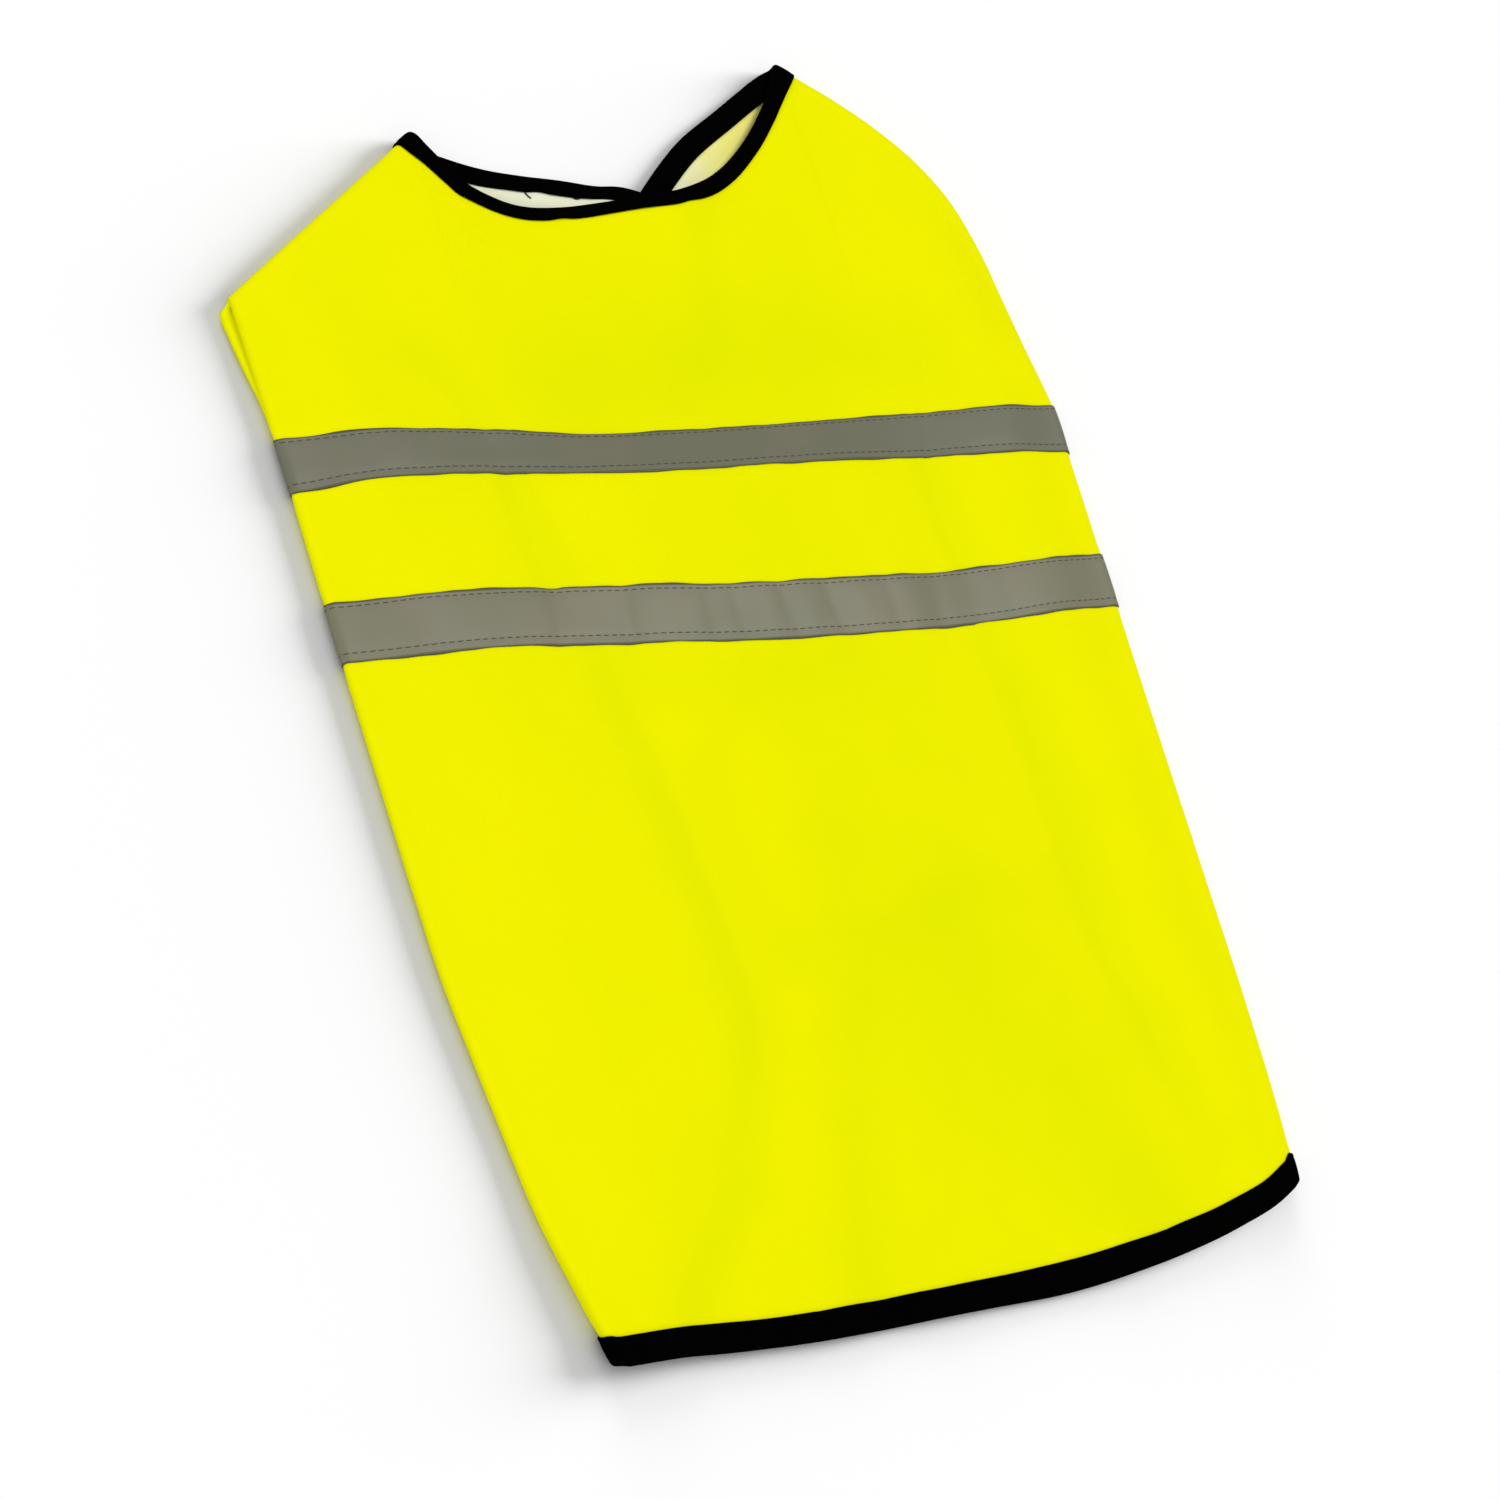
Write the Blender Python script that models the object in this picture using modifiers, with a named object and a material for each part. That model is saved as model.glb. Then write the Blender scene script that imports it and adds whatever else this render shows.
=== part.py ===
"""A reflective dog jacket lying on its belly, back up: cloth panels, black edge binding and reflective tapes.

X runs across the jacket, +Y towards the neck, +Z up from the surface it lies on. Sizes are in millimetres and
become metres when a mesh is made. Every cloth piece is one wall: an open surface, thickened by Solidify.
A surface is a grid of points, rows by columns, with its outer side where columns x rows points.
"""

import bpy
import numpy as np

MM = 0.001

# Driving sizes
CLOTH = 1.0  # wall of the yellow cloth
TRIM = 1.0  # wall of the binding, the tapes and the fastening patches
GAP = 0.3  # clearance between neighbouring pieces
BINDING_WIDTH = 9.2
RAMP = 5.5  # length over which cloth settles beside a piece that lies under it
ROLL = 3.0  # radius of the side folds and shoulder folds, seen from above
SEAM_OPENING = 0.13  # share of a fold's height left between two pieces that meet at a seam

# Derived sizes
ON_CLOTH = (CLOTH + TRIM) / 2 + GAP  # from the middle of the cloth to the middle of what lies on it
FLOOR_LEVEL = CLOTH / 2  # middle of a cloth that lies on the floor
TRIM_LIFT = TRIM + GAP  # rise of cloth that has a trim under it
OVERLAP_LIFT = CLOTH + 2 * TRIM + 3 * GAP  # rise of a flap over the flap and the fastening under it
BOUND = BINDING_WIDTH + GAP  # width of cloth that lies within its binding

# Side folds of the back
LEFT_FOLD = [  # y, x
    (-262, -138), (-220, -147), (-131, -158), (-84, -164), (-41, -167), (20, -170), (100, -173), (134, -175),
    (165, -177),
]
RIGHT_FOLD = [  # y, x
    (-251, 165), (-206, 170), (-112, 174), (-61, 175.5), (15, 178), (74, 180), (99, 180.5), (126, 177),
    (152, 173.5), (168, 171.5),
]
# Rear edge of the back, then of the belly band under it
HEM = [  # x, y
    (-138, -261), (-110, -262.5), (-85, -265), (-53, -267.5), (-19, -268.5), (15, -269.5), (51, -270.5),
    (89, -268), (109, -265.5), (131, -261.5), (153, -255.5), (165, -250),
]
BELLY_HEM = [  # x, y
    (-137, -258), (-124, -250), (-108, -236), (-85, -212), (-50, -174), (-22, -154), (6, -148), (34, -154),
    (66, -175), (104, -210), (132, -233), (150, -243), (164, -248),
]
BELLY_FRONT = [  # x, y
    (-173, 156), (-162, 118), (-148, 88), (-122, 70), (-80, 62), (0, 60), (85, 62), (128, 70), (152, 88),
    (163, 118), (170, 156),
]
# Outline of the neck and shoulders
LEFT_SHOULDER = [(-177, 165), (-84.5, 236.5)]  # x, y
NECKLINE = [  # x, y
    (-84.5, 236.5), (-75, 222.5), (-69, 213.8), (-60, 206), (-46, 199.2), (-28, 197.3), (-9, 198.6), (12, 201),
    (30, 204.6), (41, 209.3), (53, 216.6), (70, 231.5), (85, 249), (101, 271),
]
RIGHT_SHOULDER = [  # x, y
    (101, 271), (108, 265.5), (125, 252), (141, 237.5), (154, 220), (163, 202), (169, 181), (171.5, 168),
]
# Chest straps, each from its shoulder seam to its tip
LEFT_STRAP_NECK = [  # x, y
    (-84.5, 236.5), (-82, 233), (-77.5, 229.5), (-70, 226), (-56, 221), (-39, 217.5), (-22, 215), (-4, 211),
    (12, 206), (24, 200), (34, 191),
]
LEFT_STRAP_LEG = [  # x, y
    (-172.5, 168.5), (-168, 162), (-158, 153), (-142, 144), (-123, 137), (-100, 132.5), (-65, 131), (-29, 136),
    (-3, 148), (12, 163),
]
RIGHT_STRAP_NECK = [  # x, y
    (101, 271), (98, 268.3), (91, 265.5), (79, 260), (65, 250), (40, 233), (28, 222), (12, 205), (-6, 189),
    (-24, 175),
]
RIGHT_STRAP_LEG = [  # x, y
    (170.5, 172), (166.5, 169.5), (157, 162), (141, 156.5), (120, 153.5), (100, 152), (70, 151), (42, 150),
    (10, 146), (-28, 138),
]

# Heights of the back, one row for each section across the jacket
SECTION_COLUMNS = (
    "y fold_left lobe_left trough_left_x trough_left middle trough_right_x trough_right lobe_right fold_right"
).split()
SECTIONS = [
    (-270, 7.2, 6.6, -98, 3.8, 2.8, 134, 4.4, 6.4, 7.2),
    (-250, 7.1, 7.0, -96, 4.2, 3.1, 132, 4.4, 6.8, 7.1),
    (-225, 6.4, 7.6, -84, 5.0, 4.4, 129, 4.7, 7.0, 6.4),
    (-190, 4.8, 8.2, -66, 5.6, 6.8, 122, 5.0, 7.4, 4.8),
    (-166, 4.6, 8.6, -60, 6.0, 8.4, 117, 5.2, 7.7, 4.6),
    (-145, 4.6, 8.8, -56, 6.2, 8.8, 113, 5.4, 8.0, 4.6),
    (-100, 4.6, 9.0, -56, 6.2, 8.8, 110, 5.6, 8.2, 4.6),
    (-50, 4.6, 9.0, -60, 6.2, 8.4, 109, 5.8, 8.2, 4.6),
    (0, 4.6, 8.8, -67, 6.4, 8.4, 105, 6.0, 8.0, 4.6),
    (32, 4.6, 8.8, -77, 6.8, 9.4, 107, 6.6, 8.0, 4.6),
    (56, 4.6, 8.8, -84, 7.2, 10.8, 108, 7.2, 8.0, 4.6),
    (74, 4.6, 8.8, -89, 8.0, 12.2, 111, 7.8, 8.2, 4.6),
    (86, 4.6, 8.6, -91, 6.8, 8.8, 112, 6.8, 8.0, 4.6),
    (98, 4.6, 8.2, -93, 5.5, 5.5, 114, 5.7, 7.6, 4.6),
    (110, 4.6, 8.0, -96, 5.3, 5.3, 117, 5.6, 7.5, 4.6),
    (125, 4.8, 7.8, -102, 5.3, 5.5, 121, 5.6, 7.4, 4.8),
    (150, 5.4, 7.6, -112, 6.4, 7.6, 127, 6.4, 7.4, 5.4),
    (180, 6.4, 7.6, -112, 7.4, 9.0, 127, 7.2, 7.4, 6.4),
    (272, 7.2, 7.4, -112, 7.4, 9.2, 127, 7.2, 7.4, 7.2),
]
LOBE_SHARE = 0.45  # where a lobe peaks between its fold and its trough
PLATEAU_SHARE = 0.28  # where the middle plateau starts, between the troughs
NECK_EDGE_HEIGHT = [  # x, height of the neckline
    (-84.5, 7.2), (-72, 6.2), (-50, 6.2), (-34, 7.2), (-14, 8.6), (8, 10.2), (32, 10.0), (50, 7.0), (75, 6.2),
    (101, 7.2),
]
NECK_SLOPE = 30  # width of the strip beside the neckline that slopes to its edge

# Soft folds that fan out to the hem: x and y where each starts and ends, half width, height
HEM_FOLDS = [
    (-26, -150, -48, -262, 13, 1.0),
    (2, -140, -28, -262, 11, -0.7),
    (24, -145, -2, -262, 12, 0.9),
    (52, -140, 38, -262, 13, -0.7),
    (92, -170, 78, -262, 13, 1.0),
]

# Reflective tapes: x, y of the lower edge, width
REAR_TAPE = [
    (-175, 9.6, 24.6), (-130, 8.4, 24.6), (-90, 7.6, 24.6), (-50, 4.8, 24.6), (-10, 1.4, 24.8), (30, -0.4, 25),
    (70, -1.4, 24.8), (110, -0.6, 24.6), (175, 1.6, 24.6),
]
FRONT_TAPE = [
    (-175, 79.6, 23.6), (-130, 81.2, 22), (-90, 81.4, 20.6), (-50, 76.6, 20.4), (-10, 75, 20.6), (30, 74.8, 21),
    (70, 74.8, 21.8), (110, 75.4, 21.8), (175, 75.2, 22.8),
]

# Ends of the belly band: x of each, and where the left one climbs over the right one
LEFT_END, RIGHT_END = 28, -16
BELLY_RISE = (-32, -19)
# Where the left strap climbs over the right one, from the right one's neck edge
STRAP_RISE = (-22, -6)
STRAP_EASE = 1.5  # how far past its binding a strap stays raised

# The turned-under layer shows past the back below the left shoulder
PEEK_REACH = 4.4
PEEK = [(100, 0), (119, 0.03), (130, 0.35), (142, 0.6), (160, 1), (165, 1)]  # y, share of the reach

# Fastening patches between the overlapping ends: x and y of the corners
CHEST_PATCH = [(-19, 143.5), (1, 153), (3, 166), (-19, 153)]
BELLY_PATCH = [(-9, -120), (20, -120), (20, -15), (-9, -15)]

NOSE_REACH, NOSE_HALF_HEIGHT = 1.0, 0.8  # bend of a binding, past the edge of its cloth
REAR_TAPE_END = 0.698  # column of the left end of the belly band where its tape stops
LEFT_CORNER, RIGHT_CORNER, CORNER_STEP = 8, 6, 5.5  # neck binding beside the shoulder seams, and its last step
CORNER_EASE = 9  # length over which the neck binding turns from its seam to the neckline
TIP_REACH = 10  # how many of its last steps a strap's neck edge is drawn past the tip
PULL_SHARE = 0.5  # share of a strap over which its shoulder outline fades
HEM_SPREAD, FRONT_SPREAD = 2, 3.5  # most that rows spread apart at a slanted edge

# Where the grids have their lines
FOLD_TURNS = np.radians([22.5, 45, 67.5])  # round a fold, from its edge
EDGE_STEPS = np.array([0, *ROLL * (1 - np.cos(FOLD_TURNS)), ROLL])  # distances from a fold's edge
LEFT_BELLY_COLUMNS = (1, 0.87, 0.765, 0.73, 0.698, 0.54, 0.38, 0.24, 0.13, 0.06, 0)
RIGHT_BELLY_COLUMNS = (0, 0.06, 0.14, 0.28, 0.45, 0.65, 0.83, 1)
BACK_COLUMNS = (  # x at the front edge
    *(-174, -157, -136, -115, -96.4, -92, -88.1, -84.5, -84.37, -84, -83.4, -82.8, -80, -75, -67, -57, -46),
    *(-34, -22, -10, 2, 14, 26, 38, 50, 62, 74, 84, 92, 97, 99.2, 99.85, 100.47, 100.86, 101, 104.6, 108.5),
    *(112.9, 126, 139, 152, 162, 168.5),
)
HEM_STEPS, REAR_STEPS, FRONT_STEPS, STRAP_STEPS, STRAP_ROWS = 6, 2, 5, 20, 7
PLAIN_ROWS = np.array([1, 0.8, 0.6, 0.45, 0.3, 0.15, 0])  # rows before an edge with no seam, as shares of BOUND
PATH_POINTS, SEAM_POINTS, PATCH_POINTS, SETTLE_ROUNDS = 80, 40, 4, 12
REAR_ROWS, FRONT_ROWS = slice(10, 13), slice(16, 19)  # rows of the body that its tapes cover
FOLD_COLUMNS = 2 * len(FOLD_TURNS) + 1
FIRST_BACK = len(LEFT_BELLY_COLUMNS) + FOLD_COLUMNS
BACK_SLICE = slice(FIRST_BACK, FIRST_BACK + len(BACK_COLUMNS))

YELLOW, BLACK, GREY = (0.84, 0.86, 0.0), (0.012, 0.012, 0.013), (0.20, 0.20, 0.17)


def through(pairs):
    """A smooth function through (station, value) pairs."""
    station, value = np.array(pairs, float).T
    slope = np.gradient(value, station)

    def at(where):
        where = np.clip(where, station[0], station[-1])
        i = np.clip(np.searchsorted(station, where) - 1, 0, len(station) - 2)
        span = station[i + 1] - station[i]
        t = (where - station[i]) / span
        ends = value[i] * (1 + 2 * t) * (1 - t) ** 2 + value[i + 1] * t**2 * (3 - 2 * t)
        return ends + span * (slope[i] * t * (1 - t) ** 2 - slope[i + 1] * t**2 * (1 - t))

    return at


def smooth(t):
    """0 before 0, 1 after 1, and an even S between."""
    t = np.clip(t, 0, 1)
    return t * t * (3 - 2 * t)


def path_through(points, count):
    """A plan curve through points, sampled evenly along its length."""
    points = np.array(points, float)
    along = np.r_[0, np.cumsum(np.hypot(*np.diff(points, axis=0).T))]
    stations = np.linspace(0, along[-1], count)
    return np.stack([through(list(zip(along, points[:, k])))(stations) for k in (0, 1)], axis=1)


def points_along(path, distances):
    """Points of a plan path at distances from its start."""
    along = np.r_[0, np.cumsum(np.hypot(*np.diff(path, axis=0).T))]
    return np.stack([np.interp(distances, along, path[:, k]) for k in (0, 1)], axis=1)


def length_of(path):
    return np.hypot(*np.diff(path, axis=0).T).sum()


def signed_distance(path, x, y):
    """Distance from plan points to a path, positive on its left."""
    spot = np.stack(np.broadcast_arrays(x, y), axis=-1).astype(float)[..., None, :]
    start, step = path[:-1], np.diff(path, axis=0)
    t = np.clip(((spot - start) * step).sum(-1) / (step**2).sum(-1), 0, 1)
    offset = spot - (start + t[..., None] * step)
    apart = np.hypot(offset[..., 0], offset[..., 1])
    nearest = apart.argmin(-1)[..., None]
    turn = step[:, 0] * offset[..., 1] - step[:, 1] * offset[..., 0]
    sign = np.where(np.take_along_axis(turn, nearest, -1) < 0, -1, 1)
    return (sign * np.take_along_axis(apart, nearest, -1))[..., 0]


SECTION = {
    name: through([(row[0], row[k]) for row in SECTIONS]) for k, name in enumerate(SECTION_COLUMNS) if k
}
LEFT_X, RIGHT_X = through(LEFT_FOLD), through(RIGHT_FOLD)
HEM_Y, BELLY_HEM_Y, BELLY_FRONT_Y = through(HEM), through(BELLY_HEM), through(BELLY_FRONT)
NECK_EDGE = through(NECK_EDGE_HEIGHT)
PEEK_SHARE = through(PEEK)
NECKLINE_PATH = path_through(NECKLINE, PATH_POINTS)
SEAM_PATHS = {"left": path_through(LEFT_SHOULDER, 2), "right": path_through(RIGHT_SHOULDER, SEAM_POINTS)}
NECK_PATHS, LEG_PATHS = (
    {"left": path_through(left, PATH_POINTS), "right": path_through(right, PATH_POINTS)}
    for left, right in ((LEFT_STRAP_NECK, RIGHT_STRAP_NECK), (LEFT_STRAP_LEG, RIGHT_STRAP_LEG))
)


def to_seam(x, y):
    """Distance to the nearer shoulder seam."""
    return np.minimum(*(np.abs(signed_distance(path, x, y)) for path in SEAM_PATHS.values()))


def fold_share(distance):
    """How far a layer has parted from the middle of a round fold, at a distance from the fold's edge."""
    return np.sqrt(1 - (1 - np.clip(distance / ROLL, 0, 1)) ** 2)


def hem_folds(x, y):
    height = np.zeros(np.broadcast(x, y).shape)
    for x0, y0, x1, y1, half_width, rise in HEM_FOLDS:
        along = ((x - x0) * (x1 - x0) + (y - y0) * (y1 - y0)) / ((x1 - x0) ** 2 + (y1 - y0) ** 2)
        across = signed_distance(np.array([(x0, y0), (x1, y1)], float), x, y)
        height += rise * smooth(along) * np.exp(-((across / half_width) ** 2))
    return height


def back_level(x, y):
    """Height of the back's cloth away from its folded edges."""
    s = {name: at(y) for name, at in SECTION.items()}
    left, right = LEFT_X(y) + ROLL, RIGHT_X(y) - ROLL
    between = s["trough_right_x"] - s["trough_left_x"]
    knots = [
        (left, s["fold_left"]),
        (left + LOBE_SHARE * (s["trough_left_x"] - left), s["lobe_left"]),
        (s["trough_left_x"], s["trough_left"]),
        (s["trough_left_x"] + PLATEAU_SHARE * between, s["middle"]),
        (s["trough_right_x"] - PLATEAU_SHARE * between, s["middle"]),
        (s["trough_right_x"], s["trough_right"]),
        (right + LOBE_SHARE * (s["trough_right_x"] - right), s["lobe_right"]),
        (right, s["fold_right"]),
    ]
    height = knots[0][1]
    for (x0, z0), (x1, z1) in zip(knots, knots[1:]):
        height = height + (z1 - z0) * smooth((x - x0) / (x1 - x0))
    height = height + hem_folds(x, y)
    from_neck = np.abs(signed_distance(NECKLINE_PATH, x, y))
    return height + (NECK_EDGE(x) - height) * (1 - smooth(from_neck / NECK_SLOPE))


def tape_edges(tape, x):
    """y of a tape's lower and upper edge at x."""
    low, width = (through([(row[0], row[k]) for row in tape])(x) for k in (1, 2))
    return low, low + width


def lift_beside(distance):
    """Lift of cloth by a trim under it: full within the trim, none past the ramp."""
    return TRIM_LIFT * (1 - smooth(distance / RAMP))


def belly_level(x, y, from_hem=np.inf, is_left=False):
    """Height of the belly band's cloth away from its folded edges."""
    lift = lift_beside(from_hem - BOUND)
    low, high = tape_edges(REAR_TAPE, x)
    lift = np.maximum(lift, lift_beside(np.maximum(low - y, y - high)))
    low, high = tape_edges(FRONT_TAPE, x)
    from_fold = np.minimum(x - LEFT_X(y), RIGHT_X(y) - x) - ROLL
    lift = np.maximum(lift, lift_beside(np.maximum(np.maximum(low - y, y - high), from_fold)))
    start, end = BELLY_RISE
    return FLOOR_LEVEL + lift + is_left * OVERLAP_LIFT * smooth((x - start) / (end - start))


def strap_level(side, x, y):
    """Height of a chest strap's cloth away from its folded edge."""
    path = NECK_PATHS[side]
    past_tip = path[-1] + (path[-1] - path[-2]) * TIP_REACH
    from_edge = np.abs(signed_distance(np.vstack([path, past_tip]), x, y))
    height = FLOOR_LEVEL + lift_beside(from_edge - BOUND - STRAP_EASE)
    if side == "right":
        return height
    start, end = STRAP_RISE
    over = smooth((signed_distance(NECK_PATHS["right"], x, y) - start) / (end - start))
    return height + (strap_level("right", x, y) + OVERLAP_LIFT - height) * over


def seam_share(x, y):
    return np.maximum(fold_share(to_seam(x, y)), SEAM_OPENING)


def back_height(x, y):
    """Height of the back's cloth, drawn round the shoulder folds."""
    level = back_level(x, y)
    strap = np.where(x < 0, strap_level("left", x, y), strap_level("right", x, y))
    middle = (level + strap) / 2
    return middle + (level - middle) * seam_share(x, y)


def fold_height(x, y, turn, from_hem):
    """Height of the cloth round a side fold: from the belly band at -90 degrees to the back at 90."""
    belly = belly_level(x, y, from_hem)
    level = back_level(x, y)
    middle = (belly + level) / 2
    if turn < 0:
        return middle + (level - middle) * np.sin(turn)
    return middle + (level - middle) * np.minimum(np.sin(turn), seam_share(x, y))


def strap_height(side, x, y):
    """Height of a chest strap's cloth, drawn round the shoulder fold."""
    level = strap_level(side, x, y)
    middle = (level + back_level(x, y)) / 2
    return middle + (level - middle) * seam_share(x, y)


def settle(edge_y, x_at):
    """y at which columns meet an edge that is given over x."""
    y = edge_y(x_at(0.0))
    for _ in range(SETTLE_ROUNDS):
        y = edge_y(x_at(y))
    return y


def front_edge(x):
    """y of the back's front edge: left shoulder, neckline, right shoulder."""
    outline = np.concatenate([SEAM_PATHS["left"], NECKLINE_PATH[1:], SEAM_PATHS["right"][1:]])
    return np.interp(x, outline[:, 0], outline[:, 1])


def rows_between(hem, hem_spread, front, front_steps, x_at):
    """y of every row of one column of the body."""
    rows = list(hem + np.array([0, BINDING_WIDTH / 2, BOUND, BOUND + RAMP]) * hem_spread)
    end = front - front_steps
    for tape, steps in ((REAR_TAPE, HEM_STEPS), (FRONT_TAPE, REAR_STEPS)):
        low, high = tape_edges(tape, x_at(tape[0][1]))
        rows += list(np.linspace(rows[-1], low - RAMP, steps + 1)[1:-1])
        rows += [low - RAMP, low, (low + high) / 2, high, high + RAMP]
    rows += list(np.linspace(rows[-1], end[0], FRONT_STEPS + 1)[1:-1])
    return np.array(rows + list(end))


def body_columns():
    """Every column of the body, round the girth: kind, turn round the fold or 0, and x over y."""

    def belly_left(share):
        return lambda y: LEFT_X(y) + ROLL + share * (LEFT_END - LEFT_X(y) - ROLL)

    def belly_right(share):
        return lambda y: RIGHT_X(y) - ROLL + share * (RIGHT_END - RIGHT_X(y) + ROLL)

    def fold(edge_x, inward, turn):
        return lambda y: edge_x(y) + inward * ROLL * (1 - np.cos(turn))

    def back(share):
        return lambda y: (LEFT_X(y) + ROLL) * (1 - share) + (RIGHT_X(y) - ROLL) * share

    turns = [*-FOLD_TURNS[::-1], 0, *FOLD_TURNS]
    first, last = BACK_COLUMNS[0], BACK_COLUMNS[-1]
    columns = [("belly_left", 0, belly_left(share)) for share in LEFT_BELLY_COLUMNS]
    columns += [("fold_left", turn, fold(LEFT_X, 1, turn)) for turn in turns]
    columns += [("back", 0, back((x - first) / (last - first))) for x in BACK_COLUMNS]
    columns += [("fold_right", turn, fold(RIGHT_X, -1, turn)) for turn in turns[::-1]]
    columns += [("belly_right", 0, belly_right(share)) for share in RIGHT_BELLY_COLUMNS]
    return columns


def spread_of(edge, stations, limit):
    """How much longer a step along y is than a step square to the edge."""
    return np.minimum(np.sqrt(1 + np.gradient(edge, stations) ** 2), limit)


def body_surface():
    """The body: back, side folds and both ends of the belly band, as rows of points round the girth."""
    columns = body_columns()
    hem, front = [], []
    for kind, turn, x_at in columns:
        upper_hem, upper_front = settle(HEM_Y, x_at), settle(front_edge, x_at)
        lower_hem, lower_front = settle(BELLY_HEM_Y, x_at), settle(BELLY_FRONT_Y, x_at)
        if kind == "back":
            hem.append(upper_hem)
            front.append(upper_front)
        elif kind.startswith("belly"):
            hem.append(lower_hem)
            front.append(lower_front)
        else:
            hem.append(lower_hem + (upper_hem - lower_hem) * (turn / np.pi + 0.5))
            reach = 1 if turn > 0 else 1 - (turn / (np.pi / 2)) ** 2
            front.append(BELLY_FRONT[0][1] + (upper_front - BELLY_FRONT[0][1]) * reach)
    hem, front = np.array(hem), np.array(front)
    starts = np.array([x_at(y) for (_, _, x_at), y in zip(columns, hem)])
    steps = np.maximum(np.abs(np.diff(starts)), ROLL * FOLD_TURNS[0])
    around = np.r_[0, np.cumsum(steps)]
    hem_spread = spread_of(hem, around, HEM_SPREAD)
    ends = np.array([x_at(y) for (_, _, x_at), y in zip(columns, front)])
    steps = np.maximum(np.abs(np.diff(ends)), ROLL * FOLD_TURNS[0])
    front_spread = spread_of(front, np.r_[0, np.cumsum(steps)], FRONT_SPREAD)
    full_front = BELLY_FRONT[0][1]
    seam_steps = np.array([BOUND, BINDING_WIDTH / 2, *EDGE_STEPS[::-1]])
    plain_steps = BOUND * PLAIN_ROWS
    grid = []
    for k, (kind, turn, x_at) in enumerate(columns):
        if kind.startswith("belly"):
            y = rows_between(hem[k], hem_spread[k], full_front, plain_steps, x_at)
            base = y[REAR_ROWS.stop]
            y = np.where(y > base, base + (y - base) * (front[k] - base) / (full_front - base), y)
        else:
            steps = seam_steps * front_spread[k] if kind == "back" or turn > 0 else plain_steps
            y = rows_between(hem[k], hem_spread[k], front[k], steps, x_at)
        x = x_at(y)
        from_hem = (y - hem[k]) / hem_spread[k]
        if kind == "back":
            z = back_height(x, y)
        elif kind.startswith("belly"):
            z = belly_level(x, y, from_hem, kind == "belly_left")
        else:
            z = fold_height(x, y, turn, from_hem)
        if kind == "fold_left" and turn < 0:
            x = x - PEEK_REACH * PEEK_SHARE(y) * np.sin(-2 * turn) ** 0.5
        grid.append(np.stack([x, y, z], axis=-1))
    return np.array(grid).transpose(1, 0, 2)


def strap_surface(side):
    """A chest strap, from its neck edge to its leg edge, in rows that run from left to right."""
    neck, leg, seam = NECK_PATHS[side], LEG_PATHS[side], SEAM_PATHS[side]
    even = np.linspace(0, 1, STRAP_STEPS)[1:]
    neck_at = np.r_[EDGE_STEPS, ROLL + even * (length_of(neck) - ROLL)]
    leg_at = np.r_[EDGE_STEPS, ROLL + even * (length_of(leg) - ROLL)]
    start, end = points_along(neck, neck_at), points_along(leg, leg_at)
    chord = end - start
    length = np.hypot(*chord.T)
    tangent = np.gradient(start, neck_at, axis=0)
    square = np.abs(tangent[:, 0] * chord[:, 1] - tangent[:, 1] * chord[:, 0])
    spread = np.hypot(*tangent.T) * length / square
    bound = np.array([0, BINDING_WIDTH / 2, BOUND, BOUND + RAMP])[:, None] * spread / length
    share = np.concatenate([bound, bound[-1] + (1 - bound[-1]) * np.linspace(0, 1, STRAP_ROWS)[1:, None]])
    x, y = (start[:, k] + chord[:, k] * share for k in (0, 1))
    curve = seam[::-1] if side == "left" else seam
    outline = points_along(curve, share[:, 0] * (length_of(curve) - np.hypot(*(curve[-1] - end[0]))))
    pull = 1 - smooth(leg_at / (PULL_SHARE * leg_at[-1]))
    x = x + (outline[:, 0] - x[:, 0])[:, None] * pull
    y = y + (outline[:, 1] - y[:, 0])[:, None] * pull
    grid = np.stack([x, y, strap_height(side, x, y)], axis=-1)
    return grid if side == "left" else grid[:, ::-1]


def directions(grid):
    """Direction of the columns of a grid at each point, halfway between those of its neighbours."""
    step = np.diff(grid, axis=0)
    step = step / np.linalg.norm(step, axis=-1, keepdims=True)
    return np.concatenate([step[:1], step[:-1] + step[1:], step[-1:]])


def outward(grid):
    """Unit normals of a grid of points, on its outer side."""
    across = directions(grid.transpose(1, 0, 2)).transpose(1, 0, 2)
    normal = np.cross(across, directions(grid))
    return normal / np.linalg.norm(normal, axis=-1, keepdims=True)


def edge_strip(grid):
    """The strip of a surface that its binding covers, from the edge inwards."""
    reach = BINDING_WIDTH / BOUND
    half = BINDING_WIDTH / 2 / BOUND
    inner = grid[1] + (grid[2] - grid[1]) * (reach - half) / (1 - half)
    return np.stack([grid[0], grid[1], inner])


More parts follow.
